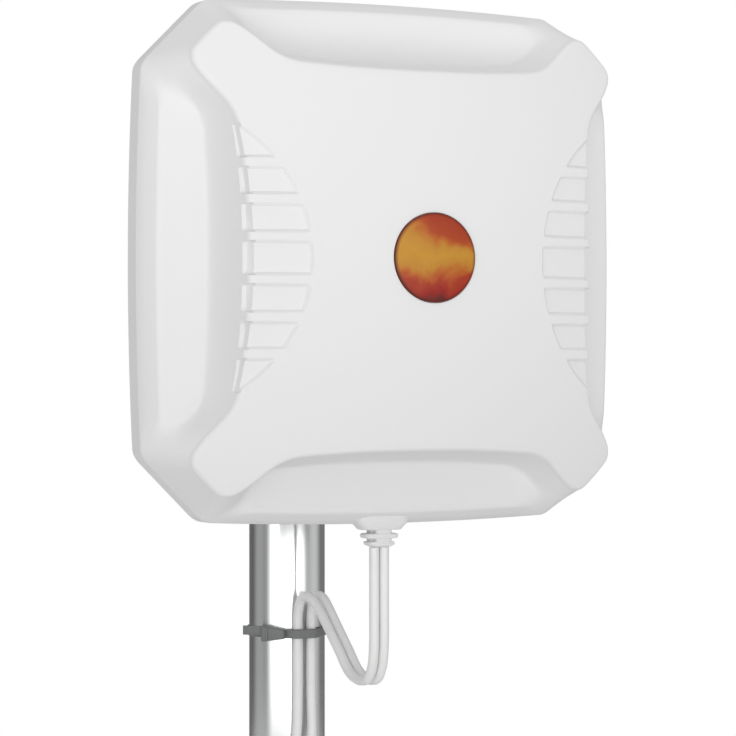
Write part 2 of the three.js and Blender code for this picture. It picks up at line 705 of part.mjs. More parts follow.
function poleBracket() {
  const width = 2 * (EAR_INNER + SHEET) + 8;
  const webMiddle = (EAR_LOW + EAR_HIGH) / 2;
  const web = block(width, SHEET, WEB_HEIGHT, at(0, WEB_Y - SHEET / 2, webMiddle));
  const ears = [EAR_INNER, -EAR_INNER - SHEET].map(x => ear(WEB_Y - 1, EAR_LOW, EAR_HIGH, -1, x));
  const legs = UBOLT_HEIGHTS.flatMap(z => [-1, 1].map(side =>
    bar(UBOLT_ROD + 0.4, at(side * UBOLT_BEND, WEB_Y + 2, z), at(side * UBOLT_BEND, WEB_Y - 6, z), 16)));
  return cut(join([web, ...ears]), [
    ...legs,
    acrossEars(PIVOT_RADIUS + GAP, PIVOT_Y, 0),
    acrossEars(LOCK_RADIUS + GAP, PIVOT_Y, -LOCK_DROP),
  ]);
}

place(bracket, 'pole_bracket', poleBracket(), BRACKET_STEEL);

// Bolts that hold the antenna bracket: the head behind its plate, the shank in the cover's boss.
function plateBolt() {
  const head = hexPrism(8, 3.5).rotateX(-Math.PI / 2);
  const shank = bar(BOLT_RADIUS, at(0, 1, 0), at(0, -9, 0), 12);
  return join([head, shank]);
}

BRACKET_BOLTS.forEach(([x, z], i) => {
  place(panel, `bracket_bolt_${i + 1}`, plateBolt(), BOLT_STEEL,
    at(x, -COVER_BACK + SHEET + 2 * GAP, z));
});

// Cross bolts through all four ears: a flanged head on the left and a flange nut on the right.
const EAR_OUTER = EAR_INNER + 2 * SHEET + 0.6;
const FLANGE = 1.4;

// Flange nut with its seat at z = 0.
function flangeNut(radius, acrossFlats) {
  const height = radius * 1.7;
  const body = join([hexPrism(acrossFlats, height), bar(radius * 2.1, at(0, 0, 0), at(0, 0, FLANGE), 16)]);
  return cut(body, [bar(radius + 0.2, at(0, 0, -1), at(0, 0, height + 1), 12)]);
}

function crossBolt(radius, acrossFlats) {
  const seat = EAR_OUTER + GAP;
  const head = [
    bar(radius * 2.1, at(-seat, 0, 0), at(-seat - FLANGE, 0, 0), 16),
    hexPrism(acrossFlats, radius * 1.5).applyMatrix4(Z_TO_X).translate(-seat - radius * 1.5, 0, 0),
  ];
  return join([...head, bar(radius, at(-seat - 1, 0, 0), at(seat + radius * 2.6, 0, 0), 12)]);
}

const CROSS_BOLTS = [['pivot', PIVOT_RADIUS, 13, 0], ['lock', LOCK_RADIUS, 10, -LOCK_DROP]];
for (const [name, radius, flats, z] of CROSS_BOLTS) {
  place(bracket, `${name}_bolt`, crossBolt(radius, flats), BOLT_STEEL, at(0, PIVOT_Y, z));
  place(bracket, `${name}_nut`, flangeNut(radius, flats).applyMatrix4(Z_TO_X), BOLT_STEEL,
    at(EAR_OUTER + GAP, PIVOT_Y, z));
}

// Mast clamp ---------------------------------------------------------------------------------------

function uBolt() {
  const points = [at(-UBOLT_BEND, UBOLT_END_Y, 0), at(-UBOLT_BEND, -24, 0), at(-UBOLT_BEND, -8, 0)];
  const bendSteps = 8;
  for (let step = 0; step <= bendSteps; step += 1) {
    const angle = Math.PI * (1 - step / bendSteps);
    points.push(at(UBOLT_BEND * Math.cos(angle), UBOLT_BEND * Math.sin(angle), 0));
  }
  points.push(at(UBOLT_BEND, -8, 0), at(UBOLT_BEND, -24, 0), at(UBOLT_BEND, UBOLT_END_Y, 0));
  return tube(points, UBOLT_ROD, 24, 8);
}

const SADDLE_HEIGHT = 20;

// V-shaped jaw with teeth, between the pole bracket and the mast.
function mastSaddle() {
  const halfWidth = 19.4;
  const notch = 5;
  const contact = (MAST_RADIUS + GAP) * Math.SQRT2;
  const teeth = 5;
  const toothDepth = 1.1;
  const flank = [];
  for (let tooth = 0; tooth <= 2 * teeth; tooth += 1) {
    const x = THREE.MathUtils.lerp(halfWidth, notch, tooth / (2 * teeth));
    const sunk = tooth % 2 === 0 ? 0 : toothDepth;
    flank.push(new THREE.Vector2(x, x - contact - sunk));
  }
  const mirrored = flank.map(point => new THREE.Vector2(-point.x, point.y)).reverse();
  const back = WEB_Y + GAP;
  const [right, left] = [halfWidth, -halfWidth].map(x => new THREE.Vector2(x, back));
  return prism([right, ...flank, ...mirrored, left], SADDLE_HEIGHT);
}

UBOLT_HEIGHTS.forEach((z, i) => {
  const level = i === 0 ? 'lower' : 'upper';
  place(bracket, `ubolt_${level}`, uBolt(), BOLT_STEEL, at(0, 0, z));
  place(bracket, `mast_saddle_${level}`, mastSaddle(), SHEET_ALUMINIUM, at(0, 0, z - SADDLE_HEIGHT / 2));
  for (const [hand, side] of [['left', -1], ['right', 1]]) {
    const nut = flangeNut(UBOLT_ROD, 10).rotateX(Math.PI / 2);
    place(bracket, `ubolt_nut_${level}_${hand}`, nut, BOLT_STEEL,
      at(side * UBOLT_BEND, WEB_Y - SHEET - GAP, z));
  }
});

// Mast -----------------------------------------------------------------------------------------------

const MAST_SIDES = 48;
const CAP_SIDES = 32;
const mastLength = MAST_TOP - 2 * (CAP_FLANGE + GAP);
place(root, 'mast_tube', ring(MAST_RADIUS - MAST_WALL, MAST_RADIUS, mastLength, MAST_SIDES), POLISHED_STEEL,
  at(0, 0, CAP_FLANGE + GAP));

function mastCap() {
  const plugRadius = MAST_RADIUS - MAST_WALL - GAP;
  return join([
    bar(MAST_RADIUS, at(0, 0, 0), at(0, 0, CAP_FLANGE), CAP_SIDES),
    bar(plugRadius, at(0, 0, 1), at(0, 0, CAP_FLANGE + CAP_PLUG), CAP_SIDES),
  ]);
}

place(root, 'mast_cap_bottom', mastCap(), CAP_BLACK);
place(root, 'mast_cap_top', mastCap(), CAP_BLACK, at(0, 0, MAST_TOP)).rotation.x = Math.PI;

// Coaxial leads ----------------------------------------------------------------------------------------
// The route of a lead from the boot, round under the housing, over the tie and down the
// mast to the coil: half the distance between the two leads, then y and z.

const LEAD_ROUTE = [
  [2.7, -113.2, PANEL_HEIGHT + BOOT_END - GAP],
  [2.7, -113.2, 325],
  [2.7, -113.2, 308],
  [2.7, -113.1, 293],
  [2.7, -111.2, 281.6],
  [2.7, -106.3, 275],
  [2.7, -98.5, 273],
  [2.7, -90, 273.8],
  [2.7, -82, 277.2],
  [2.8, -72.5, 285],
  [3.0, -58, 296.4],
  [3.3, -46.5, 305.2],
  [3.6, -39.5, 309.2],
  [3.8, -32.8, 310.3],
  [3.8, -27, 307.8],
  [3.8, -23.6, 302.2],
  [3.8, -22.6, 295],
  [3.8, -22.6, 280],
  [3.8, -22.6, 258],
];

// The last stretch of each lead, from the mast's front to the outside of its coil.
const COIL_ENTRY = [
  [[-4.4, -22.7, 238], [-7.6, -23, 218], [-11, -23.1, 198], [-12.4, -23.1, 183], [-12.6, -23.1, 177]],
  [[3.4, -24.6, 238], [-0.6, -30.4, 218], [-7.4, -35.8, 198], [-11.8, -38, 183], [-12.6, -38.25, 177]],
];

const LEAD_STEPS = 38;
const LEAD_SIDES = 8;

[-1, 1].forEach((side, i) => {
  const route = LEAD_ROUTE.map(([half, y, z]) => at(side * half, y, z));
  COIL_ENTRY[i].forEach(([x, y, z]) => route.push(at(x, y, z)));
  place(root, `lead_${i + 1}`, tube(route, CORD_RADIUS, LEAD_STEPS, LEAD_SIDES), CORD_WHITE);
});

// Each lead's coil: a flat ring of turns, with its axis along Y, in front of the mast.
function coilRing() {
  const half = COIL_SECTION / 2;
  const width = COIL_ROW * COIL_PITCH - GAP;
  const profile = [[-half, 1], [-half + 1, 0], [half - 1, 0], [half, 1], [half, width - 1],
    [half - 1, width], [-half + 1, width], [-half, width - 1], [-half, 1]];
  const points = profile.map(([out, along]) => new THREE.Vector2(COIL_RADIUS + out, along));
  return new THREE.LatheGeometry(points, 32).rotateX(Math.PI);
}

const tailDepth = i => -(COIL_BACK + CORD_RADIUS + (COIL_ROW * (i + 1) - 1) * COIL_PITCH);

function connectorBody() {
  const profile = [[0, 0], [3.3, 0], [3.4, -0.6], [3.4, -14.5], [3, -15.2], [2.8, -15.2], [2.8, -19],
    [2.3, -19.3], [2.3, -21.5], [0.5, -21.6], [0.5, -24], [0, -24.2]];
  const points = profile.map(([radius, z]) => new THREE.Vector2(radius, z)).reverse();
  return new THREE.LatheGeometry(points, 14).rotateX(Math.PI / 2);
}

const NUT_DROP = 15.7;              // from a connector's top down to its coupling nut
const NUT_BORE = 3.2;

function connectorNut() {
  const length = 8.6;
  const bore = bar(NUT_BORE, at(0, 0, -1), at(0, 0, length + 1), 24);
  return cut(hexPrism(8, length), [bore]).translate(0, 0, -length);
}

[0, 1].forEach(i => {
  const y = tailDepth(i);
  place(root, `coil_${i + 1}`, coilRing(), CORD_WHITE,
    at(COIL_RADIUS, -COIL_BACK - i * COIL_ROW * COIL_PITCH, COIL_HEIGHT));
  const tailLine = [TAIL_TOP, (TAIL_TOP + TAIL_END) / 2, TAIL_END].map(z => at(TAIL_X, y, z));
  const tail = tube(tailLine, CORD_RADIUS, 4, LEAD_SIDES);
  place(root, `tail_${i + 1}`, tail, CORD_WHITE);
  place(root, `connector_body_${i + 1}`, connectorBody(), CONNECTOR_GOLD, at(TAIL_X, y, TAIL_END - GAP));
  place(root, `connector_nut_${i + 1}`, connectorNut(), CONNECTOR_GOLD,
    at(TAIL_X, y, TAIL_END - GAP - NUT_DROP));
});

// Cable ties ---------------------------------------------------------------------------------------------

function convexHull(points) {
  const sorted = [...points].sort((a, b) => a.x - b.x || a.y - b.y);
  const turn = (a, b, c) => (b.x - a.x) * (c.y - a.y) - (b.y - a.y) * (c.x - a.x);
  const half = list => list.reduce((chain, point) => {
    while (chain.length > 1 && turn(chain.at(-2), chain.at(-1), point) <= 1e-9) chain.pop();
    return [...chain, point];
  }, []).slice(0, -1);
  return [...half(sorted), ...half(sorted.reverse())];
}

// Outline of a band pulled round a set of circles, given as [x, y, radius].
function bandOutline(circles, margin) {
  return convexHull(circles.flatMap(([x, y, radius]) =>
    regularPolygon(radius > 10 ? 48 : 12, radius + margin)
      .map(point => new THREE.Vector2(point.x + x, point.y + y))));
}

const TIE_WIDTH = 4.8;
const TIE_THICKNESS = 1.3;
const TIE_GAP = 0.4;

// A tie: its band, its head at an angle round the mast, and the end of its tail.
function cableTie(circles, headAngle) {
  const inner = bandOutline(circles, TIE_GAP);
  const band = prism(bandOutline(circles, TIE_GAP + TIE_THICKNESS), TIE_WIDTH, [inner])
    .translate(0, 0, -TIE_WIDTH / 2);
  const [headDepth, headWidth, headHeight] = [6, 9, 8];
  const tailLength = 12.5;
  const seat = MAST_RADIUS + 0.7;
  const head = block(headDepth, headWidth, headHeight, at(seat + headDepth / 2, 0, 0));
  const tail = block(TIE_THICKNESS, tailLength, TIE_WIDTH, at(seat + 4.6, -9.6, 1.4));
  const turned = [head, tail].map(piece => piece.rotateZ(headAngle));
  return join([band, ...turned]);
}

const headAngle = THREE.MathUtils.degToRad(228);
const tieHeight = 290;
const leadCircles = [[-3.8, -22.6, CORD_RADIUS], [3.8, -22.6, CORD_RADIUS]];
const mastCircle = [0, 0, MAST_RADIUS];
place(root, 'cable_tie', cableTie([mastCircle, ...leadCircles], headAngle), TIE_GREY, at(0, 0, tieHeight));

const coilFront = -(COIL_BACK + COIL_SECTION - CORD_RADIUS);
const coilCircles = [[-12.2, coilFront], [17.4, coilFront], [17.4, -22]]
  .map(([x, y]) => [x, y, CORD_RADIUS]);
const coilHeadAngle = THREE.MathUtils.degToRad(100);
[['lower', -12], ['upper', 12]].forEach(([level, offset]) => {
  place(root, `coil_tie_${level}`, cableTie([mastCircle, ...coilCircles], coilHeadAngle),
    TIE_GREY, at(0, 0, COIL_HEIGHT + offset));
});

export default root;
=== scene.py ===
"""Looks of a flat-panel antenna on a round mast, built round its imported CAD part.

Everything is in the CAD's frame: the mast's axis is Z, its foot stands on the floor and the
antenna faces -Y. Shapes are worked out in millimetres and scaled to metres when their mesh
is made. A panel point is (x, depth, z) from the middle of the housing's rim plane, with
depth forwards, towards -Y.
"""

import json
import math

import bmesh
import bpy
from mathutils import Matrix, Vector


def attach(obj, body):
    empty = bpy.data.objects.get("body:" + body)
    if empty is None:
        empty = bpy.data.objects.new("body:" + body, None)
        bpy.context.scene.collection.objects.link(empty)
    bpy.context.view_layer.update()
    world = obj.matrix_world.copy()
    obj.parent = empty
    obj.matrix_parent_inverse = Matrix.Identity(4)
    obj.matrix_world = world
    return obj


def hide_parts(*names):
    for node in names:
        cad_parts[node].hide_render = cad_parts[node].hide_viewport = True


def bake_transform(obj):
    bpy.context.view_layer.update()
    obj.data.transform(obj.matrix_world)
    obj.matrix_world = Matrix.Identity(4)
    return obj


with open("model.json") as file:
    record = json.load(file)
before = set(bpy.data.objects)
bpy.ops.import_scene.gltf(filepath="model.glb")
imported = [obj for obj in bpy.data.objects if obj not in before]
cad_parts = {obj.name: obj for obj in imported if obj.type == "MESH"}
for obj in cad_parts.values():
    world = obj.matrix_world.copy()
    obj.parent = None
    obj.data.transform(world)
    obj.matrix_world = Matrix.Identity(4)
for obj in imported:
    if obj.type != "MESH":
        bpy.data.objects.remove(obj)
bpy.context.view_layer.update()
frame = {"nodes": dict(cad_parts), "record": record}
scene = bpy.context.scene

MM = 0.001

# Driving dimensions, in millimetres. The outlines are the CAD part's, the bays' section is finer ---

MAST_RADIUS = 20.0
MAST_TOP = 560.0
PANEL_HEIGHT = 480.0
RIM_SETBACK = 102.5

HALF_WIDTH = 128.0
SIDE_END = 93.6
SIDE_BULGE = 2.4
CORNER_ROUND = 3.5
CHAMFER_SUM = HALF_WIDTH - SIDE_BULGE + SIDE_END
RIM_DEPTH = 11.0
WALL_RUN = 9.5
RISER_RUN = 7.4
SHOULDER_START = 24.1
SHOULDER_END = 25.6
DOME_APEX = 72.5
DOME_RADIUS = 383.0
BOOT_DEPTH = 10.7
BADGE_RADIUS = 21.3
BADGE_RISE = 1.0

CORD_RADIUS = 2.5
COIL_RADIUS = 42.2
COIL_HEIGHT = 150.0
COIL_PITCH = 5.05
COIL_FRONT = 23.1
TAIL_X = -12.625
TAIL_END = 75.0


# Camera ----------------------------------------------------------------

CAMERA_PLACE = (-0.6004, -1.3694, 0.4287)
CAMERA_TURN = math.radians(-25.32)
CAMERA_LENS = 137.9


def make_camera():
    """A level camera to the antenna's left, with the photograph's framing."""
    data = bpy.data.cameras.new("camera")
    data.sensor_width = 36.0
    data.lens = CAMERA_LENS
    camera = bpy.data.objects.new("camera", data)
    camera.location = CAMERA_PLACE
    camera.rotation_euler = (math.radians(90), 0.0, CAMERA_TURN)
    scene.collection.objects.link(camera)
    scene.camera = camera


make_camera()


# Mesh helpers ----------------------------------------------------------

MERGE_DISTANCE = 1e-7               # in metres


def on_panel(x, depth, z):
    """A panel point in the CAD's frame, in millimetres."""
    return Vector((x, -RIM_SETBACK - depth, PANEL_HEIGHT + z))


class Shell:
    """Vertices and faces of one mesh, gathered from several surfaces, in millimetres."""

    def __init__(self):
        self.points = []
        self.faces = []

    def loft(self, rings, wrap=False):
        """A surface through rings of points. A ring of one point is a pole that closes an end."""
        starts = []
        for ring in rings:
            starts.append(len(self.points))
            self.points.extend(Vector(point) for point in ring)
        bands = len(rings) if wrap else len(rings) - 1
        for band in range(bands):
            self._band(rings, starts, band, (band + 1) % len(rings))
        return self

    def add_flipped(self, other, flip):
        """Adds another shell's surface, turned upside down about the panel's middle if flip is -1."""
        start = len(self.points)
        for point in other.points:
            self.points.append(Vector((point.x, point.y, PANEL_HEIGHT + flip * (point.z - PANEL_HEIGHT))))
        self.faces.extend([start + i for i in face] for face in other.faces)

    def _band(self, rings, starts, low, high):
        count = max(len(rings[low]), len(rings[high]))

        def vertex(ring, i):
            return starts[ring] + (0 if len(rings[ring]) == 1 else i % count)

        for i in range(count):
            corners = [vertex(low, i), vertex(low, i + 1), vertex(high, i + 1), vertex(high, i)]
            face = list(dict.fromkeys(corners))
            if len(face) > 2:
                self.faces.append(face)

    def mesh(self, name, sharp=35.0):
        """The mesh in metres, smooth but for edges sharper than an angle in degrees."""
        mesh = bpy.data.meshes.new(name)
        mesh.from_pydata([point * MM for point in self.points], [], self.faces)
        outward(mesh)
        soften(mesh, sharp)
        return mesh


def outward(mesh):
    bm = bmesh.new()
    bm.from_mesh(mesh)
    bmesh.ops.remove_doubles(bm, verts=bm.verts, dist=MERGE_DISTANCE)
    bmesh.ops.recalc_face_normals(bm, faces=bm.faces)
    bm.to_mesh(mesh)
    bm.free()


def soften(mesh, sharp):
    mesh.polygons.foreach_set("use_smooth", [True] * len(mesh.polygons))
    mesh.set_sharp_from_angle(angle=math.radians(sharp))


def circle(sides, radius, turn=0.0):
    angles = [turn + 2 * math.pi * i / sides for i in range(sides)]
    return [(radius * math.cos(a), radius * math.sin(a)) for a in angles]


def lathe_rings(profile, sides, place):
    """Rings of a turned shape. The profile is (radius, height) and place maps (a, b, height)."""
    rings = []
    for radius, height in profile:
        if radius < 1e-6:
            rings.append([place(0.0, 0.0, height)])
        else:
            rings.append([place(a, b, height) for a, b in circle(sides, radius)])
    return rings


def rounded_box(width, depth, height, centre, bevel, segments):
    """A bevelled box as a bmesh, in millimetres."""
    bm = bmesh.new()
    bmesh.ops.create_cube(bm, size=1.0)
    bmesh.ops.scale(bm, vec=(width, depth, height), verts=bm.verts)
    bmesh.ops.bevel(bm, geom=bm.edges[:], offset=bevel, segments=segments, profile=0.5,
                    affect="EDGES")
    bmesh.ops.translate(bm, vec=Vector(centre), verts=bm.verts)
    return bm


def add_piece(name, mesh, materials, body, slot_name, *nodes):
    """A visible piece that rides on a body and stands for CAD nodes; its slot name is not used."""
    piece = bpy.data.objects.new(name, mesh)
    for material in materials if isinstance(materials, list) else [materials]:
        mesh.materials.append(material)
    scene.collection.objects.link(piece)
    if body:
        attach(piece, body)
    if nodes:
        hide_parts(*nodes)
    return piece


def linked_object(name, mesh):
    """An object in the scene that isn't a piece."""
    linked = bpy.data.objects.new(name, mesh)
    scene.collection.objects.link(linked)
    return linked


def carved(mesh, cutter):
    """The mesh with a cutter mesh taken away from it."""
    target = linked_object("carve_target", mesh)
    tool = linked_object("carve_tool", cutter)
    boolean = target.modifiers.new("carve", "BOOLEAN")
    boolean.operation = "DIFFERENCE"
    boolean.solver = "MANIFOLD"
    boolean.object = tool
    graph = bpy.context.evaluated_depsgraph_get()
    result = bpy.data.meshes.new_from_object(target.evaluated_get(graph))
    bpy.data.objects.remove(target)
    bpy.data.objects.remove(tool)
    return result


def catmull_rom(points, steps, power):
    """Points along a Catmull-Rom curve, with three.js's end rule. Power 0.25 is centripetal."""
    points = [Vector(point) for point in points]
    ends = [2 * points[0] - points[1], *points, 2 * points[-1] - points[-2]]
    line = []
    for p0, p1, p2, p3 in zip(ends, ends[1:], ends[2:], ends[3:]):
        gaps = [max((b - a).length_squared ** power, 1e-4) for a, b in ((p0, p1), (p1, p2), (p2, p3))]
        start = (p1 - p0) / gaps[0] - (p2 - p0) / (gaps[0] + gaps[1]) + (p2 - p1) / gaps[1]
        end = (p2 - p1) / gaps[1] - (p3 - p1) / (gaps[1] + gaps[2]) + (p3 - p2) / gaps[2]
        start, end = start * gaps[1], end * gaps[1]
        for step in range(steps):
            t = step / steps
            line.append(p1 * (2 * t**3 - 3 * t**2 + 1) + start * (t**3 - 2 * t**2 + t)
                        + p2 * (3 * t**2 - 2 * t**3) + end * (t**3 - t**2))
    return line + [points[-1]]


def tube_rings(line, radius, sides):
    """Rings round a line that don't twist. Radius is a number or a function of the index."""
    tangents = []
    for i in range(len(line)):
        ahead, behind = line[min(i + 1, len(line) - 1)], line[max(i - 1, 0)]
        tangents.append((ahead - behind).normalized())
    side = tangents[0].orthogonal().normalized()
    rings = []
    for i, (point, tangent) in enumerate(zip(line, tangents)):
        side = (side - tangent * side.dot(tangent)).normalized()
        other = tangent.cross(side)
        size = radius(i) if callable(radius) else radius
        rings.append([point + side * a + other * b for a, b in circle(sides, size)])
    return rings


def tube_shell(line, radius, sides):
    rings = tube_rings(line, radius, sides)
    return Shell().loft([[line[0]], *rings, [line[-1]]])


# Materials -------------------------------------------------------------


def math_node(tree, operation, *values):
    """The result of a math node fed with sockets or numbers."""
    node = tree.nodes.new("ShaderNodeMath")
    node.operation = operation
    for socket, value in zip(node.inputs, values):
        if isinstance(value, bpy.types.NodeSocket):
            tree.links.new(value, socket)
        else:
            socket.default_value = value
    return node.outputs["Value"]


def ramp_node(tree, factor, stops):
    """The colour of a ramp with stops given as (position, colour)."""
    ramp = tree.nodes.new("ShaderNodeValToRGB")
    band = ramp.color_ramp
    while len(band.elements) < len(stops):
        band.elements.new(0.5)
    for element, (position, colour) in zip(band.elements, stops):
        element.position = position
        element.color = (*colour, 1.0)
    tree.links.new(factor, ramp.inputs["Fac"])
    return ramp.outputs["Color"]


class Finish:
    """A Principled material with procedural variation in the piece's own coordinates."""

    def __init__(self, name, colour, roughness, metallic=0.0, **sockets):
        self.material = bpy.data.materials.new(name)
        self.material.use_nodes = True
        self.tree = self.material.node_tree
        self.shader = self.tree.nodes["Principled BSDF"]
        self.set("Base Color", (*colour, 1.0))
        self.set("Roughness", roughness)
        self.set("Metallic", metallic)
        for socket, value in sockets.items():
            self.set(socket.replace("_", " "), value)
        self.place = self.node("ShaderNodeTexCoord").outputs["Object"]

    def set(self, socket, value):
        self.shader.inputs[socket].default_value = value

    def node(self, kind, **inputs):
        node = self.tree.nodes.new(kind)
        for socket, value in inputs.items():
            node.inputs[socket.replace("_", " ")].default_value = value
        return node

    def link(self, output, target):
        self.tree.links.new(output, target)
        return self

    def math(self, operation, *values):
        return math_node(self.tree, operation, *values)

    def scaled(self, stretch, shift=(0.0, 0.0, 0.0)):
        """The piece's coordinates, moved and then stretched."""
        mapping = self.node("ShaderNodeMapping")
        mapping.vector_type = "POINT"
        mapping.inputs["Location"].default_value = [-s * k for s, k in zip(shift, stretch)]
        mapping.inputs["Scale"].default_value = stretch
        self.link(self.place, mapping.inputs["Vector"])
        return mapping.outputs["Vector"]

    def noise(self, size, detail=2.0, stretch=(1.0, 1.0, 1.0), distortion=0.0):
        """Noise with features of about a size in millimetres."""
        noise = self.node("ShaderNodeTexNoise", Scale=1.0 / (size * MM), Detail=detail,
                          Distortion=distortion)
        self.link(self.scaled(stretch), noise.inputs["Vector"])
        return noise.outputs["Fac"]

    def colour_from(self, factor, stops):
        self.link(ramp_node(self.tree, factor, stops), self.shader.inputs["Base Color"])
        return self

    def roughness_from(self, factor, low, high):
        spread = self.node("ShaderNodeMapRange")
        spread.inputs["To Min"].default_value = low
        spread.inputs["To Max"].default_value = high
        self.link(factor, spread.inputs["Value"])
        self.link(spread.outputs["Result"], self.shader.inputs["Roughness"])
        return self

    def bump(self, height, depth, strength=1.0):
        """Bump of a depth in millimetres from a height between 0 and 1."""
        bump = self.node("ShaderNodeBump", Strength=strength, Distance=depth * MM)
        self.link(height, bump.inputs["Height"])
        previous = self.shader.inputs["Normal"].links
        if previous:
            self.link(previous[0].from_socket, bump.inputs["Normal"])
        self.link(bump.outputs["Normal"], self.shader.inputs["Normal"])
        return self


def grey(value):
    return (value, value, value)


def moulded_plastic(name, colour, roughness, grain=0.012, variation=0.012):
    """Satin moulded plastic: a fine spark-eroded grain and faint flow marks."""
    finish = Finish(name, colour, roughness, Specular_IOR_Level=0.45)
    low = tuple(c * (1 - variation) for c in colour)
    finish.colour_from(finish.noise(45.0, 3.0), [(0.3, low), (0.7, colour)])
    finish.roughness_from(finish.noise(1.2, 3.0), roughness - 0.05, roughness + 0.06)
    finish.bump(finish.noise(0.55, 3.0), grain)
    finish.bump(finish.noise(60.0, 1.0), 0.15, 0.5)
    return finish.material


def satin_metal(name, colour, roughness):
    """Metal with fine marks and patches of slightly duller finish."""
    finish = Finish(name, colour, roughness, 1.0)
    marks = finish.noise(0.5, 4.0)
    low = tuple(c * 0.9 for c in colour)
    finish.colour_from(finish.noise(14.0, 3.0), [(0.35, low), (0.65, colour)])
    finish.roughness_from(marks, roughness * 0.75, roughness * 1.3)
    finish.bump(marks, 0.006)
    return finish.material


def drawn_chrome(name):
    """Tube polished round and round: crisp across, and blurred along its length."""
    finish = Finish(name, (0.77, 0.775, 0.78), 0.17, 1.0, Anisotropic=0.92, Anisotropic_Rotation=0.25)
    around = finish.node("ShaderNodeTangent")
    around.direction_type = "RADIAL"
    around.axis = "Z"
    finish.link(around.outputs["Tangent"], finish.shader.inputs["Tangent"])
    finish.colour_from(finish.noise(90.0, 1.0), [(0.3, (0.76, 0.765, 0.77)), (0.7, (0.78, 0.785, 0.79))])
    finish.roughness_from(finish.noise(0.8, 3.0, (0.03, 0.03, 1.0)), 0.15, 0.2)
    return finish.material


def zinc_sheet(name):
    """Zinc-plated sheet steel, with its faint crystal mottling."""
    finish = Finish(name, grey(0.52), 0.36, 1.0)
    cells = finish.node("ShaderNodeTexVoronoi", Scale=1.0 / (3.2 * MM))
    finish.link(finish.scaled((1.0, 1.0, 1.0)), cells.inputs["Vector"])
    finish.colour_from(cells.outputs["Distance"], [(0.0, (0.60, 0.61, 0.63)), (1.0, (0.44, 0.45, 0.46))])
    finish.roughness_from(finish.noise(2.5, 3.0), 0.28, 0.46)
    finish.bump(finish.noise(0.7, 3.0), 0.008)
    return finish.material


def cable_jacket(name):
    """White PVC jacket, satin, with a little handling grime."""
    finish = Finish(name, grey(0.86), 0.38, Specular_IOR_Level=0.5)
    finish.colour_from(finish.noise(18.0, 3.0), [(0.3, (0.84, 0.84, 0.835)), (0.7, (0.87, 0.87, 0.87))])
    finish.roughness_from(finish.noise(1.5, 2.0), 0.28, 0.42)
    finish.bump(finish.noise(0.8, 2.0), 0.01)
    return finish.material


# The badge's colours from its bottom to its top.
BADGE_CLOUDS = [
    (0.00, (0.10, 0.014, 0.010)), (0.10, (0.28, 0.014, 0.009)), (0.24, (0.36, 0.040, 0.014)),
    (0.33, (0.45, 0.120, 0.020)), (0.40, (0.48, 0.210, 0.027)), (0.52, (0.53, 0.260, 0.030)),
    (0.64, (0.49, 0.220, 0.029)), (0.73, (0.45, 0.120, 0.020)), (0.82, (0.38, 0.058, 0.015)),
    (1.00, (0.34, 0.040, 0.014)),
]
BADGE_SLANT = 0.45                  # the most that the sweep narrows to the right
BADGE_SWIRL = 0.7                   # how far the clouds push the colours up and down
BADGE_SHADE_START = 0.84             # where the painted edge shade begins, as a share of the area
# the colour of the painted shade at the badge's edge
BADGE_EDGE_SHADE = (0.13, 0.022, 0.012)


def badge_finish(name):
    """Domed label: an amber sweep that narrows to the right between red clouds, with painted shade
    darkening its edge.
    """
    finish = Finish(name, BADGE_EDGE_SHADE, 0.3, Specular_IOR_Level=0.2)
    radius = BADGE_RADIUS * MM
    place = finish.scaled((1 / radius, 1 / radius, 1 / radius), on_panel(0.0, 0.0, BADGE_RISE) * MM)
    split = finish.node("ShaderNodeSeparateXYZ")
    finish.link(place, split.inputs["Vector"])
    across, up = split.outputs["X"], split.outputs["Z"]
    clouds = finish.node("ShaderNodeTexNoise", Scale=1.9, Detail=3.0, Roughness=0.5, Distortion=0.7)
    finish.link(place, clouds.inputs["Vector"])
    upper_half = finish.math("SMOOTH_MAX", up, 0.0, 0.2)
    slope = finish.math("MULTIPLY", across, finish.math("MINIMUM", upper_half, BADGE_SLANT))
    level = finish.math("ADD", finish.math("ADD", up, slope), -BADGE_SWIRL / 2)
    level = finish.math("MULTIPLY_ADD", clouds.outputs["Fac"], BADGE_SWIRL, level)
    sweep = ramp_node(finish.tree, finish.math("MULTIPLY_ADD", level, 0.5, 0.5), BADGE_CLOUDS)
    square = finish.math("ADD", finish.math("POWER", across, 2.0), finish.math("POWER", up, 2.0))
    # painted shade: the colour darkens from near the edge out to the edge
    edge = finish.node("ShaderNodeMapRange")
    edge.inputs["From Min"].default_value = BADGE_SHADE_START
    edge.inputs["From Max"].default_value = 1.0
    finish.link(square, edge.inputs["Value"])
    blend = finish.node("ShaderNodeMix")
    blend.data_type = "RGBA"
    blend.inputs[7].default_value = (*BADGE_EDGE_SHADE, 1.0)
    finish.link(edge.outputs["Result"], blend.inputs[0])
    finish.link(sweep, blend.inputs[6])
    finish.link(blend.outputs[2], finish.shader.inputs["Base Color"])
    return finish.material


def board_finish(name):
    """Green solder mask over faint copper."""
    finish = Finish(name, (0.03, 0.16, 0.07), 0.35, Specular_IOR_Level=0.5)
    finish.colour_from(finish.noise(6.0, 4.0), [(0.4, (0.02, 0.12, 0.05)), (0.62, (0.05, 0.22, 0.09))])
    finish.roughness_from(finish.noise(2.0, 2.0), 0.28, 0.42)
    finish.bump(finish.noise(1.5, 2.0), 0.01)
    return finish.material


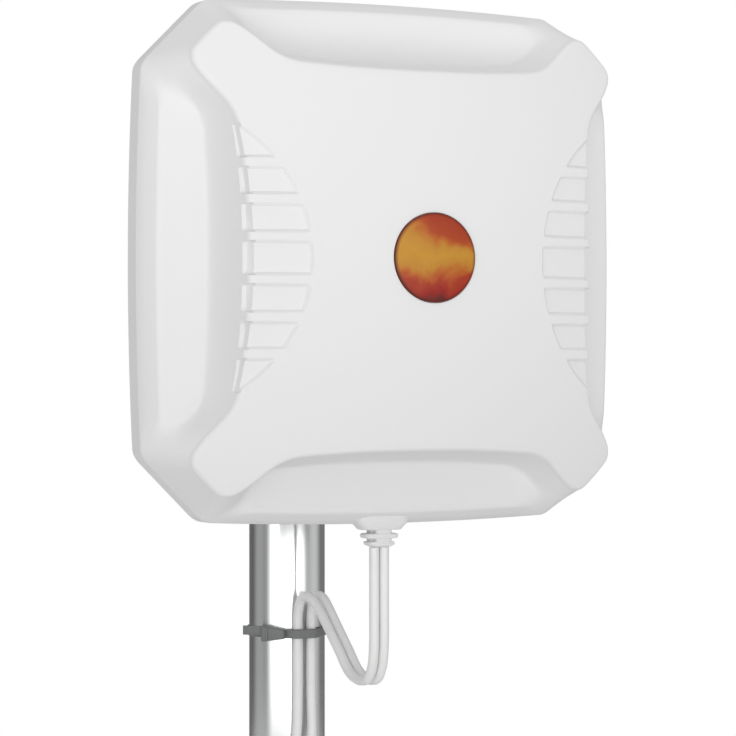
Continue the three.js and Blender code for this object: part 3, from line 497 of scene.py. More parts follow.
# Each material's name, its maker and what that is given.
MATERIAL_LIST = [
    ("radome_plastic", moulded_plastic, grey(0.82), 0.46),
    ("cover_plastic", moulded_plastic, grey(0.70), 0.52),
    ("badge", badge_finish),
    ("gasket", moulded_plastic, grey(0.035), 0.7, 0.02, 0.2),
    ("screw_steel", satin_metal, (0.66, 0.67, 0.69), 0.24),
    ("sheet_aluminium", satin_metal, (0.62, 0.63, 0.64), 0.36),
    ("patch_brass", satin_metal, (0.68, 0.43, 0.13), 0.3),
    ("board", board_finish),
    ("nylon", moulded_plastic, (0.80, 0.78, 0.70), 0.42),
    ("cord_jacket", cable_jacket),
    ("tie_grey", moulded_plastic, (0.185, 0.19, 0.19), 0.5, 0.02, 0.08),
    ("mast_chrome", drawn_chrome),
    ("bracket_steel", zinc_sheet),
    ("cap_black", moulded_plastic, grey(0.022), 0.5, 0.03, 0.15),
    ("connector_gold", satin_metal, (0.80, 0.56, 0.20), 0.22),
]
MATERIALS = {name: make(name, *values) for name, make, *values in MATERIAL_LIST}
NODE_SLOT = {row["node"]: row["material_slot"] for row in frame["record"]["subparts"]}


# Coaxial leads ---------------------------------------------------------
# The route of a lead from the boot down to the coil: half the distance between the two leads,
# then y and z. It's the CAD part's, but the leads stay closer together on the slope.

LEAD_ROUTE = [
    (2.7, -113.2, 340.3), (2.7, -113.2, 325), (2.7, -113.2, 308), (2.7, -113.1, 293),
    (2.7, -111.2, 281.6), (2.7, -106.3, 275), (2.7, -98.5, 273), (2.7, -90, 273.8),
    (2.7, -82, 277.2), (2.7, -72.5, 285), (2.7, -58, 296.4), (2.9, -46.5, 305.2),
    (3.3, -39.5, 309.2), (3.7, -32.8, 310.3), (3.8, -27, 307.8), (3.8, -23.6, 302.2),
    (3.8, -22.6, 295), (3.8, -22.6, 280), (3.8, -22.6, 258),
]
COIL_ENTRY = [
    [(-4.4, -22.7, 238), (-7.6, -23, 218), (-11, -23.1, 198), (-12.4, -23.1, 183), (-12.6, -23.1, 177)],
    [(3.4, -24.6, 238), (-0.6, -30.4, 218), (-7.4, -35.8, 198), (-11.8, -38, 183), (-12.6, -38.25, 177)],
]
# A lead's place at each pass of the coil's left side, as (column, layer): in through two
# columns, across the inside, and out through the third.
COIL_SLOTS = [
    (0, 5), (1, 5), (1, 4), (0, 4), (0, 3), (1, 3), (1, 2), (0, 2), (0, 1),
    (1, 1), (1, 0), (0, 0), (2, 0), (2, 1), (2, 2), (2, 3), (2, 4), (2, 5),
]
COIL_COLUMNS = 3                    # for each lead
MIDDLE_LAYER = 2.5
TURN_STEPS = 40
CROSSING = (0.36, 0.64)             # the share of a turn in which a lead changes place
CROSSING_DIP = 6.0                  # how far it dips inside the coil to change columns
CORD_SIDES = 12


def smoothstep(low, high, value):
    t = min(1.0, max(0.0, (value - low) / (high - low)))
    return t * t * (3 - 2 * t)


def coil_line(lead):
    """The wound part of a lead, from the coil's left side round to its left side again."""
    line = []
    for start, end in zip(COIL_SLOTS, COIL_SLOTS[1:]):
        for step in range(TURN_STEPS):
            share = step / TURN_STEPS
            moved = smoothstep(*CROSSING, share)
            column = start[0] + (end[0] - start[0]) * moved + COIL_COLUMNS * lead
            layer = start[1] + (end[1] - start[1]) * moved
            radius = COIL_RADIUS + (layer - MIDDLE_LAYER) * COIL_PITCH
            if abs(end[0] - start[0]) > 1:
                radius -= CROSSING_DIP * math.sin(math.pi * moved)
            angle = math.pi + 2 * math.pi * share
            line.append(Vector((COIL_RADIUS + radius * math.cos(angle),
                                -(COIL_FRONT + COIL_PITCH * column),
                                COIL_HEIGHT + radius * math.sin(angle))))
    return line


def lead_line(lead):
    """A lead from the boot to its end: the listed route, the coil and the tail."""
    side = (-1, 1)[lead]
    route = [(side * half, y, z) for half, y, z in LEAD_ROUTE] + COIL_ENTRY[lead]
    run = catmull_rom(route, 8, 0.25)
    tail_y = -(COIL_FRONT + COIL_PITCH * (COIL_COLUMNS * (lead + 1) - 1))
    above = [run[-1].lerp(Vector((TAIL_X, run[-1].y, COIL_HEIGHT)), t) for t in (0.33, 0.67)]
    tail = [Vector((TAIL_X, tail_y, z)) for z in (COIL_HEIGHT, 135, 115, 95, TAIL_END)]
    return run + above + coil_line(lead) + tail


def turned_piece(name, profile, sides, x, y, slot_name, body, *nodes):
    """A shape turned about a vertical axis, from (radius, z) pairs."""
    rings = lathe_rings(profile, sides, lambda a, b, z: Vector((x + a, y + b, z)))
    return add_piece(name, Shell().loft(rings).mesh(name), MATERIALS[slot_name], body, slot_name, *nodes)


CONNECTOR_TOP = TAIL_END - 0.3
CONNECTOR_PROFILE = [
    (0, 0), (3.0, 0), (3.35, -0.4), (3.4, -1.2), (3.4, -6.2), (3.05, -6.6), (3.05, -7.4),
    (3.4, -7.8), (3.4, -14.3), (3.15, -14.7), (2.8, -14.8), (2.8, -19), (2.3, -19.3),
    (2.3, -21.4), (0.5, -21.5), (0.5, -23.8), (0.3, -24.1), (0, -24.1),
]


def connector_body(lead, y):
    profile = [(radius, CONNECTOR_TOP + z) for radius, z in CONNECTOR_PROFILE]
    name = f"connector_shell_{lead + 1}"
    return turned_piece(name, profile, 40, TAIL_X, y, "connector_gold", "swivel",
                        f"connector_body_{lead + 1}")


def make_lead(lead):
    line = lead_line(lead)
    name = f"coax_lead_{lead + 1}"
    number = lead + 1
    mesh = tube_shell(line, CORD_RADIUS, CORD_SIDES).mesh(name, 60.0)
    piece = add_piece(name, mesh, MATERIALS["cord_jacket"], None, "cord_jacket",
                      f"lead_{number}", f"coil_{number}", f"tail_{number}")
    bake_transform(piece)
    end = connector_body(lead, line[-1].y)


for lead_index in range(2):
    make_lead(lead_index)


# Radome ----------------------------------------------------------------
# An outline is given over an eighth of the way round, as (t, h): t along the side from its
# middle and h out from the centre. The diagonal t = h ends the eighth.

SIDE_STEPS = 30
CORNER_STEPS = 16
BEND_STEPS = 16
KNOT_STEPS = 60
PLATEAU_KNOTS = [
    (0, 91.3), (30, 91.7), (48, 92.7), (60, 93.6), (66, 94.7), (73, 98),
    (80, 103.9), (85, 108), (90, 111.3), (94.8, 112.3), (98.8, 111), (105.2, 105.2),
]
CORNER_WIDTH = 13.0
BAY_WIDTH = 30.0
SKIN = 4.0


def along(line, shares):
    """Points at given shares of a polyline's length."""
    lengths = [0.0]
    for a, b in zip(line, line[1:]):
        lengths.append(lengths[-1] + (b - a).length)
    points = []
    for share in shares:
        target = share * lengths[-1]
        i = next((k for k in range(1, len(line)) if lengths[k] >= target - 1e-9), len(line) - 1)
        span = lengths[i] - lengths[i - 1]
        points.append(line[i - 1].lerp(line[i], (target - lengths[i - 1]) / span))
    return points


def side_stations():
    start = SIDE_END - CORNER_ROUND
    return [start * step / SIDE_STEPS for step in range(SIDE_STEPS + 1)]


def corner_shares():
    return [step / CORNER_STEPS for step in range(1, CORNER_STEPS + 1)]


def rim_eighth():
    side = [Vector((t, HALF_WIDTH - SIDE_BULGE * (t / SIDE_END) ** 2)) for t in side_stations()]
    corner = [side[-1], Vector((SIDE_END, CHAMFER_SUM - SIDE_END)),
              Vector((SIDE_END + CORNER_ROUND, CHAMFER_SUM - SIDE_END - CORNER_ROUND))]
    bend = [corner[0], *curve_through(*corner, BEND_STEPS), Vector((CHAMFER_SUM / 2, CHAMFER_SUM / 2))]
    return side + along(bend, corner_shares())


def plateau_eighth():
    t, h = PLATEAU_KNOTS[1]
    knots = [(-t, h), *PLATEAU_KNOTS]
    line = catmull_rom(knots, KNOT_STEPS, 0.0)[KNOT_STEPS:]
    side = [min(line, key=lambda point: abs(point.x - t)).copy() for t in side_stations()]
    rest = [point for point in line if point.x > side[-1].x]
    return side + along([side[-1], *rest], corner_shares())


def full_outline(eighth):
    """The outline all round as (x, z) points, from its eighth."""
    quarter = eighth + [Vector((point.y, point.x)) for point in reversed(eighth[:-1])]
    outline = []
    for turn in range(4):
        spin = Matrix.Rotation(-turn * math.pi / 2, 2)
        outline.extend(spin @ point for point in quarter[:-1])
    return outline


def inset(outline, distance):
    """The outline moved inwards along its own normals."""
    moved = []
    for i, point in enumerate(outline):
        tangent = (outline[(i + 1) % len(outline)] - outline[i - 1]).normalized()
        normal = Vector((tangent.y, -tangent.x))
        if normal.dot(point) < 0:
            normal = -normal
        moved.append(point - normal * distance)
    return moved


def dome_depth(x, z):
    return DOME_APEX - DOME_RADIUS + math.sqrt(DOME_RADIUS**2 - x**2 - z**2)


def curve_through(start, control, end, steps):
    """Points after the start of a quadratic curve."""
    start, control, end = Vector(start), Vector(control), Vector(end)
    shares = [step / steps for step in range(1, steps + 1)]
    return [start * (1 - t) ** 2 + control * 2 * t * (1 - t) + end * t * t for t in shares]


# The bay's section in (run, depth): up the outer wall from the rim, rounded over on to the
# shoulder, then up the riser from its fillet, with the run counted back from the plateau.
WALL_TOP = (5.3, 22.3)
WALL_LINE = [(0.0, RIM_DEPTH), (2.65, 16.65), WALL_TOP]
WALL_ROUND = curve_through(WALL_TOP, (6.1, 24.0), (WALL_RUN, SHOULDER_START), 7)
FILLET_TOP = (5.2, 28.4)
FILLET = curve_through((RISER_RUN, SHOULDER_END), (5.9, 25.7), FILLET_TOP, 6)
SHOULDER_STEPS = 5
RISER_STEPS = 7


def bay_section(width, edge_depth):
    """(run from the rim, depth) across a bay of a width, up to the plateau's rounded edge."""
    line = [*WALL_LINE, *[tuple(point) for point in WALL_ROUND]]
    shoulder = max(0.0, width - WALL_RUN - RISER_RUN)
    for step in range(1, SHOULDER_STEPS + 1):
        share = step / SHOULDER_STEPS
        line.append((WALL_RUN + share * shoulder,
                     SHOULDER_START + share * (SHOULDER_END - SHOULDER_START)))
    line += [(width - run, depth) for run, depth in FILLET]
    for step in range(1, RISER_STEPS + 1):
        share = step / RISER_STEPS
        line.append((width - FILLET_TOP[0] * (1 - share),
                     FILLET_TOP[1] + share * (edge_depth - FILLET_TOP[1])))
    return line


def profile(width, edge_depth):
    """(share of the way from rim to plateau, depth) over the bay, or a plain wall at a corner."""
    corner = 1.0 - smoothstep(CORNER_WIDTH, BAY_WIDTH, width)
    line = bay_section(width, edge_depth)
    stations = []
    for k, (run, depth) in enumerate(line):
        plain = k / (len(line) - 1)
        plain_depth = RIM_DEPTH + (edge_depth - RIM_DEPTH) * plain
        stations.append((run / width * (1 - corner) + plain * corner,
                         min(depth, edge_depth) * (1 - corner) + plain_depth * corner))
    return stations


EDGE_INSET = 2.0                    # how far in the plateau's edge is rounded
EDGE_DROP = 3.2                     # and how far down
EDGE_STEPS = 7
PLATEAU_RINGS = [1.0 - 0.04 * step for step in range(1, 25)]


def edge_round():
    """(inset, drop) up the plateau's rounded edge."""
    angles = [math.pi / 2 * step / EDGE_STEPS for step in range(1, EDGE_STEPS + 1)]
    return [(EDGE_INSET * (1 - math.cos(a)), EDGE_DROP * (1 - math.sin(a))) for a in angles]


def radome_rings(rim, edge, fine=True):
    """Rings of panel points from the rim plane in to the pole of the dome."""
    walls = [profile((a - b).length, dome_depth(*b) - EDGE_DROP) for a, b in zip(rim, edge)]
    rings = [[(p.x, 0.0, p.y) for p in rim], [(p.x, RIM_DEPTH - 0.25, p.y) for p in rim]]
    for k in range(len(walls[0])):
        ring = []
        for a, b, wall in zip(rim, edge, walls):
            flat = a.lerp(b, wall[k][0])
            ring.append((flat.x, wall[k][1], flat.y))
        rings.append(ring)
    for distance, drop in edge_round():
        rings.append([(p.x, dome_depth(*p) - drop, p.y) for p in inset(edge, distance)])
    top = inset(edge, EDGE_INSET)
    for share in PLATEAU_RINGS if fine else PLATEAU_RINGS[::6]:
        rings.append([(p.x * share, dome_depth(*(p * share)), p.y * share) for p in top])
    rings.append([(0.0, DOME_APEX, 0.0)])
    return rings


def radome_shell():
    """The cover as a closed skin, before its windows and notches are cut."""
    rim, edge = full_outline(rim_eighth()), full_outline(plateau_eighth())
    outer = [[on_panel(*p) for p in ring] for ring in radome_rings(rim, edge)]
    inner = [[on_panel(p[0], p[1] - SKIN, p[2]) for p in ring]
             for ring in radome_rings(inset(rim, SKIN), inset(edge, SKIN), False)]
    inner[0] = [on_panel(p.x, 0.0, p.y) for p in inset(rim, SKIN)]
    inner[1] = [on_panel(p.x, 2.0, p.y) for p in inset(rim, SKIN)]
    return Shell().loft(outer[::-1] + inner)


# Windows in the plateau, and the notches outside them ------------------

WINDOW_ROWS = [(-7.4, 7.4), (12.7, 24.8), (30.3, 42.0), (47.4, 70.0)]
WINDOW_REACH = 97.0                 # the cutters run out past the plateau's edge to here
WINDOW_ARC_CENTRE = 136.0
WINDOW_ARC_RADIUS = 75.0
WINDOW_CORNER = 1.3
WINDOW_CORNER_STEPS = 5
WINDOW_ARC_STEPS = 9
# How far the pocket's wall stands out from its nominal outline, and how deep it is there.
WINDOW_DEPTH = 2.2
WINDOW_WALL = [
    (-0.9, WINDOW_DEPTH), (-0.72, 2.12), (-0.5, 1.8), (0.3, 0.42), (0.55, 0.12), (0.9, -0.12), (1.6, -1.5),
]
NOTCH_DROP = 6.2                    # a notch's ledge below the dome
NOTCH_LEDGE = 1.8                   # its width
NOTCH_TOP = 62.3                    # where the last one ends
NOTCH_START = 88.0                  # where a window's floor ends and its notch starts, at the middle
NOTCH_FAN = 3.7                     # how much further out that is NOTCH_FAN_HEIGHT from the middle
NOTCH_FAN_HEIGHT = 53.0
NOTCH_LIP = 0.35                    # how far a notch's cutter reaches in over the window's floor
# How far a notch's end is raised, going in from its end.
NOTCH_ENDS = [(-0.7, 5.0), (-0.45, 1.6), (-0.1, 0.5), (0.35, 0.1), (0.8, 0.0)]


def window_outline(row, grow):
    """Outline of one window on the +X side, in order round it, with rounded inner corners."""
    low, high = row[0] - grow, row[1] + grow
    radius = WINDOW_ARC_RADIUS + grow
    arc_end = math.sqrt(radius**2 - (WINDOW_ARC_CENTRE - WINDOW_REACH) ** 2)
    corner = WINDOW_CORNER + max(grow, -0.6)

    def on_arc(z):
        return Vector((WINDOW_ARC_CENTRE - math.sqrt(radius**2 - z**2), z))

    def rounded(z, way):
        start = on_arc(z) + Vector((corner, 0.0))
        return [start, *curve_through(start, on_arc(z), on_arc(z - way * corner), WINDOW_CORNER_STEPS)]

    closed = high > arc_end
    top = arc_end if closed else high
    upper = [on_arc(top)] if closed else rounded(high, 1)
    lower = rounded(low, -1)[::-1]
    middle = [on_arc(upper[-1].y + (lower[0].y - upper[-1].y) * step / WINDOW_ARC_STEPS)
              for step in range(1, WINDOW_ARC_STEPS)]
    return [Vector((WINDOW_REACH, low)), Vector((WINDOW_REACH, top)), *upper[1 if closed else 0:],
            *middle, *lower]


def window_cutter(shell, row, side):
    """Adds the solid that cuts one window's pocket."""
    def lifted(point, depth):
        return on_panel(side * point.x, dome_depth(*point) - depth, point.y)

    outlines = [window_outline(row, grow) for grow, depth in WINDOW_WALL]
    middle = sum(outlines[0], Vector((0.0, 0.0))) / len(outlines[0])
    rings = [[lifted(middle, WINDOW_DEPTH)]]
    for share in (0.2, 0.4, 0.6, 0.8):
        rings.append([lifted(middle.lerp(point, share), WINDOW_DEPTH) for point in outlines[0]])
    for outline, (grow, depth) in zip(outlines, WINDOW_WALL):
        rings.append([lifted(point, depth) for point in outline])
    rings.append([lifted(middle, WINDOW_WALL[-1][1])])
    shell.loft(rings)


def plateau_half_width(z):
    """Distance from the centre line to the plateau's side edge at a height."""
    after = next(i for i, knot in enumerate(PLATEAU_KNOTS) if knot[0] >= abs(z) and i)
    (t0, h0), (t1, h1) = PLATEAU_KNOTS[after - 1], PLATEAU_KNOTS[after]
    return h0 + (h1 - h0) * (abs(z) - t0) / (t1 - t0)


def notch_section(side, z, raised):
    """Section of a notch at a height: down the sloped back wall and out along the ledge."""
    edge = plateau_half_width(z)
    floor_end = NOTCH_START + NOTCH_FAN * (z / NOTCH_FAN_HEIGHT) ** 2
    back = max(floor_end + 0.5, edge - NOTCH_LEDGE)
    ledge = dome_depth(edge, z) - NOTCH_DROP + raised
    mouth = dome_depth(floor_end, z) - WINDOW_DEPTH
    corners = [(floor_end - NOTCH_LIP, mouth + 1.2), (floor_end, mouth), (back, ledge + 0.3),
               (back + 0.3, ledge), (WINDOW_REACH, ledge), (WINDOW_REACH, DOME_APEX),
               (floor_end - NOTCH_LIP, DOME_APEX)]
    return [on_panel(side * x, depth, z) for x, depth in corners]


def notch_cutter(shell, row, side):
    """Cuts the step outside a window, with softened ends."""
    low, high = row[0], min(row[1], NOTCH_TOP)
    heights = [(low + z, raised) for z, raised in NOTCH_ENDS]
    heights += [(low + (high - low) * share, 0.0) for share in (0.25, 0.5, 0.75)]
    heights += [(high - z, raised) for z, raised in reversed(NOTCH_ENDS)]
    rings = [notch_section(side, z, raised) for z, raised in heights]
    ends = [sum(ring, Vector()) / len(ring) for ring in (rings[0], rings[-1])]
    shell.loft([[ends[0]], *rings, [ends[1]]])


def bmesh_to_mesh(name, parts):
    """One mesh in metres from several bmeshes in millimetres, which are freed."""
    whole = bmesh.new()
    for part in parts:
        scratch = bpy.data.meshes.new("scratch")
        part.to_mesh(scratch)
        part.free()
        whole.from_mesh(scratch)
        bpy.data.meshes.remove(scratch)
    bmesh.ops.scale(whole, vec=(MM, MM, MM), verts=whole.verts)
    bmesh.ops.recalc_face_normals(whole, faces=whole.faces)
    mesh = bpy.data.meshes.new(name)
    whole.to_mesh(mesh)
    whole.free()
    soften(mesh, 40.0)
    return mesh


# The badge's seat and the badge, as (radius, depth).
BADGE_SIDES = 96
SEAT_PROFILE = [(0, 70.9), (21.55, 70.9), (21.6, 72.0), (21.9, 72.35), (23.4, 74.5), (0, 74.5)]
BADGE_FACE = 74.0
BADGE_CROWN = 0.9
BADGE_CROWN_STEPS = 12
BADGE_RIM = [(20.6, 73.1), (21.1, 72.85), (BADGE_RADIUS, 72.4), (BADGE_RADIUS, 71.3), (0.0, 71.3)]


def badge_shell(profile):
    """A shape turned about the badge's axis."""
    rings = lathe_rings(profile, BADGE_SIDES, lambda a, b, depth: on_panel(a, depth, b + BADGE_RISE))
    return Shell().loft(rings)


def radome_mesh():
    """The cover with its notches, its windows and the badge's seat cut out."""
    rows = [(row, flip) for flip in (1, -1) for row in WINDOW_ROWS[0 if flip == 1 else 1:]]
    notches, windows = Shell(), Shell()
    for side in (-1, 1):
        for row, flip in rows:
            cutters = Shell()
            window_cutter(cutters, row, side)
            windows.add_flipped(cutters, flip)
            cutters = Shell()
            notch_cutter(cutters, row, side)
            notches.add_flipped(cutters, flip)
    mesh = carved(radome_shell().mesh("radome_shell"), notches.mesh("notches"))
    mesh = carved(mesh, windows.mesh("windows"))
    mesh = carved(mesh, badge_shell(SEAT_PROFILE).mesh("seat"))
    soften(mesh, 28.0)
    return mesh


def paint_rim_band(mesh):
    """Gives the rim's band the rear cover's plastic, as the second material."""
    front = (-RIM_SETBACK - RIM_DEPTH + 0.1) * MM
    for polygon in mesh.polygons:
        polygon.material_index = 1 if polygon.center.y > front else 0


radome = radome_mesh()
paint_rim_band(radome)
add_piece("radome_skin", radome, [MATERIALS["radome_plastic"], MATERIALS["cover_plastic"]],
          "panel", "radome_plastic", "radome")


# Badge -----------------------------------------------------------------


def badge_mesh():
    """A thin domed disc with a rounded rim."""
    shares = [step / BADGE_CROWN_STEPS for step in range(BADGE_CROWN_STEPS)]
    dome = [(BADGE_RADIUS * share, BADGE_FACE - BADGE_CROWN * share**2) for share in shares]
    return badge_shell(dome + BADGE_RIM).mesh("badge_disc", 50.0)


add_piece("badge_disc", badge_mesh(), MATERIALS["badge"], "panel", "badge", "badge")


# Strain relief boot ----------------------------------------------------

BOOT_SIDES = 48
# The boot's outline from the top down: half width, half depth and height.
BOOT_PROFILE = [
    (14.2, 8.6, -122.5), (14.0, 8.6, -126.4), (13.4, 8.3, -127.6), (12.2, 7.6, -128.8), (10.6, 6.9, -130.6),
    (9.9, 6.4, -131.0), (5.5, 5.9, -131.1), (5.3, 5.7, -131.3), (5.3, 5.7, -132.6), (5.6, 5.9, -132.8),
    (8.4, 6.0, -132.9), (8.9, 6.2, -133.3), (9.0, 6.3, -134.0), (8.6, 6.1, -134.9), (8.0, 5.9, -135.2),
    (5.5, 5.8, -135.3), (5.3, 5.6, -135.5), (5.3, 5.6, -136.6), (5.6, 5.7, -136.8), (6.7, 5.7, -136.9),
    (7.1, 5.8, -137.2), (7.1, 5.8, -137.9), (6.8, 5.6, -138.5), (6.2, 5.4, -138.8), (5.4, 5.0, -138.9),
    (5.3, 4.6, -139.2), (4.9, 4.3, -139.4),
]
BOOT_SQUARENESS = 0.5               # 1 is an ellipse, 0 a rectangle
BOOT_SLOTS = [-132.0, -136.0]       # heights of the slots in the core's left corner
SLOT_SIZE = (2.8, 8.0, 1.4)


def squared(share):
    return math.copysign(abs(share) ** BOOT_SQUARENESS, share)


def boot_mesh():
    def ring(half_width, half_depth, z):
        return [on_panel(half_width * squared(a), BOOT_DEPTH + half_depth * squared(b), z)
                for a, b in circle(BOOT_SIDES, 1.0)]

    rings = [[on_panel(0.0, BOOT_DEPTH, BOOT_PROFILE[0][2])]]
    rings += [ring(*step) for step in BOOT_PROFILE]
    rings.append([on_panel(0.0, BOOT_DEPTH, BOOT_PROFILE[-1][2])])
    return Shell().loft(rings).mesh("cable_boot", 40.0)


def slotted_boot():
    slots = [rounded_box(*SLOT_SIZE, on_panel(-5.3, BOOT_DEPTH + 5.6, z), 0.3, 2) for z in BOOT_SLOTS]
    mesh = carved(boot_mesh(), bmesh_to_mesh("slots", slots))
    soften(mesh, 35.0)
    return mesh


add_piece("cable_boot", slotted_boot(), MATERIALS["radome_plastic"], "panel", "radome_plastic",
          "strain_relief_boot")


# Mast ------------------------------------------------------------------

MAST_WALL = 2.0
CAP_FLANGE = 3.0
MAST_SIDES = 160


def mast_mesh():
    low, high = CAP_FLANGE + 0.3, MAST_TOP - CAP_FLANGE - 0.3
    inner, outer, soft = MAST_RADIUS - MAST_WALL, MAST_RADIUS, 0.35
    steps = [(inner, low + soft), (inner + soft, low), (outer - soft, low), (outer, low + soft),
             (outer, high - soft), (outer - soft, high), (inner + soft, high), (inner, high - soft)]
    rings = lathe_rings(steps, MAST_SIDES, lambda a, b, z: Vector((a, b, z)))
    return Shell().loft(rings, wrap=True).mesh("mast_pipe", 50.0)


add_piece("mast_pipe", mast_mesh(), MATERIALS["mast_chrome"], "mast", "mast_chrome", "mast_tube")


def cap_mesh(name, seat, way):
    """A moulded end cap: a softly domed flange and a ribbed plug."""
    rim, plug = MAST_RADIUS, MAST_RADIUS - MAST_WALL - 0.4
    steps = [(0, 0.0), (12, 0.0), (rim - 1.8, 0.15), (rim - 0.5, 0.6), (rim, 1.3), (rim, 2.8),
             (rim - 0.2, 3.0), (plug, 3.0)]
    for rib in range(3):
        z = 5.0 + 4.0 * rib
        steps += [(plug - 0.5, z - 1.2), (plug, z - 0.5), (plug, z + 0.5), (plug - 0.5, z + 1.2)]
    steps += [(plug - 1.2, 16.6), (0, 16.6)]
    rings = lathe_rings(steps, 96, lambda a, b, z: Vector((a, b, seat + way * z)))
    return Shell().loft(rings).mesh(name, 40.0)


for cap_name, cap_seat, cap_way in (("bottom", 0.0, 1), ("top", MAST_TOP, -1)):
    add_piece(f"end_cap_{cap_name}", cap_mesh(f"end_cap_{cap_name}", cap_seat, cap_way),
              MATERIALS["cap_black"], "mast", "cap_black", f"mast_cap_{cap_name}")


# Cable ties ------------------------------------------------------------

TIE_WIDTH = 4.8
TIE_THICKNESS = 1.3
TIE_GAP = 0.15
HEAD_SIZE = (5.6, 12.6, 8.4)
LIP_SIZE = (2.0, 1.2, 6.6)
TAIL_LENGTH = 12.8


def convex_hull(points):
    """The points of the hull, in order round it."""
    ordered = sorted(points, key=lambda p: (p[0], p[1]))

    def half(run):
        chain = []
        for point in run:
            while len(chain) > 1 and ((chain[-1][0] - chain[-2][0]) * (point[1] - chain[-2][1])
                                      - (chain[-1][1] - chain[-2][1]) * (point[0] - chain[-2][0])) <= 1e-9:
                chain.pop()
            chain.append(point)
        return chain[:-1]

    return half(ordered) + half(ordered[::-1])


def band_line(circles):
    """The inner face of a band pulled round circles given as (x, y, radius)."""
    points = []
    for x, y, radius in circles:
        points += [(x + a, y + b) for a, b in circle(96 if radius > 10 else 32, radius + TIE_GAP)]
    return [Vector(point) for point in convex_hull(points)]


def band_shell(circles, height):
    """A closed strap with rounded edges, swept round the hull of the circles."""
    half = TIE_WIDTH / 2
    section = [(0.0, -half + 0.3), (0.3, -half), (TIE_THICKNESS - 0.5, -half), (TIE_THICKNESS, -half + 0.5),
               (TIE_THICKNESS, half - 0.5), (TIE_THICKNESS - 0.5, half), (0.3, half), (0.0, half - 0.3)]
    inner = band_line(circles)
    rings = []
    for out, z in section:
        rings.append([(p.x, p.y, height + z) for p in inset(inner, -out)])
    return Shell().loft(rings, wrap=True)


def tie_head(height, angle):
    """The head, which tapers towards the band, and the loose end of the strap."""
    seat = MAST_RADIUS + TIE_GAP + 0.8
    head = rounded_box(*HEAD_SIZE, (seat + 2.8, 0.6, 0.0), 0.8, 3)
    for vertex in head.verts:
        vertex.co.z *= 0.8 - 0.032 * vertex.co.y if vertex.co.y > -2.0 else 1.0
    lip = rounded_box(*LIP_SIZE, (seat + 5.2, -2.4, 0.0), 0.3, 2)
    tail = rounded_box(TIE_THICKNESS, TAIL_LENGTH, TIE_WIDTH, (seat + 3.0, -9.9, 1.5), 0.35, 2)
    parts = [head, lip, tail]
    for part in parts:
        bmesh.ops.rotate(part, cent=(0, 0, 0), matrix=Matrix.Rotation(angle, 3, "Z"), verts=part.verts)
        bmesh.ops.translate(part, vec=(0, 0, height), verts=part.verts)
    return parts


def add_tie(name, circles, height, degrees, node):
    """A tie round the circles, with its head turned to an angle."""
    mesh = bpy.data.meshes.new(name)
    whole = bmesh.new()
    whole.from_mesh(band_shell(circles, height).mesh("strap"))
    whole.from_mesh(bmesh_to_mesh("head", tie_head(height, math.radians(degrees))))
    whole.to_mesh(mesh)
    whole.free()
    soften(mesh, 40.0)
    add_piece(name, mesh, MATERIALS["tie_grey"], "swivel", "tie_grey", node)


LEAD_TIE_HEIGHT = 290.0
LEAD_TIE_TURN = 228
COIL_TIE_OFFSET = 12
COIL_TIE_TURN = 100
MAST_CIRCLE = (0.0, 0.0, MAST_RADIUS)
LEAD_CIRCLES = [(-3.8, -22.6, CORD_RADIUS), (3.8, -22.6, CORD_RADIUS)]
COIL_CIRCLES = [(-12.6, -48.35, CORD_RADIUS), (17.4, -48.35, CORD_RADIUS), (17.4, -22.0, CORD_RADIUS)]
add_tie("strap_tie", [MAST_CIRCLE, *LEAD_CIRCLES], LEAD_TIE_HEIGHT, LEAD_TIE_TURN, "cable_tie")
for tie_place, tie_way in (("lower", -1), ("upper", 1)):
    add_tie(f"coil_strap_{tie_place}", [MAST_CIRCLE, *COIL_CIRCLES],
            COIL_HEIGHT + tie_way * COIL_TIE_OFFSET, COIL_TIE_TURN, f"coil_tie_{tie_place}")


# U-bolts ---------------------------------------------------------------

UBOLT_ROD = 3.0
UBOLT_BEND = MAST_RADIUS + UBOLT_ROD + 0.4
UBOLT_END_Y = -51.0
THREAD_LENGTH = 17.0
THREAD_PITCH = 1.0
THREAD_RIDGES = (0.0, 0.18, 0.36, 0.18)     # how deep the thread is at the points of a pitch
THREAD_STEPS = len(THREAD_RIDGES)
UBOLT_BEND_STEPS = 48


def ubolt_line(height):
    """A U-bolt's axis, with points close together where it's threaded."""
    leg = []
    steps = int(THREAD_LENGTH / THREAD_PITCH * THREAD_STEPS)
    for step in range(steps + 1):
        leg.append(UBOLT_END_Y + THREAD_LENGTH * step / steps)
    line = [Vector((-UBOLT_BEND, y, height)) for y in leg + [-26, -18, -9]]
    for step in range(UBOLT_BEND_STEPS + 1):
        angle = math.pi * (1 - step / UBOLT_BEND_STEPS)
        line.append(Vector((UBOLT_BEND * math.cos(angle), UBOLT_BEND * math.sin(angle), height)))
    return line + [Vector((UBOLT_BEND, y, height)) for y in [-9, -18, -26] + leg[::-1]]


def threaded_radius(line):
    """Rod radius at each point: ridges a pitch apart on the threaded ends."""
    def radius(i):
        reach = line[i].y - UBOLT_END_Y
        if reach > THREAD_LENGTH:
            return UBOLT_ROD
        if reach < 0.3:
            return UBOLT_ROD - 0.5
        return UBOLT_ROD - THREAD_RIDGES[round(reach / THREAD_PITCH * THREAD_STEPS) % THREAD_STEPS]
    return radius


for ubolt_name, ubolt_height in (("lower", 430.0), ("upper", 512.0)):
    ubolt_axis = ubolt_line(ubolt_height)
    ubolt_shell = tube_shell(ubolt_axis, threaded_radius(ubolt_axis), 24)
    add_piece(f"clamp_rod_{ubolt_name}", ubolt_shell.mesh(f"clamp_rod_{ubolt_name}", 40.0),
              MATERIALS["screw_steel"], "swivel", "screw_steel", f"ubolt_{ubolt_name}")


# CAD nodes that stay ---------------------------------------------------

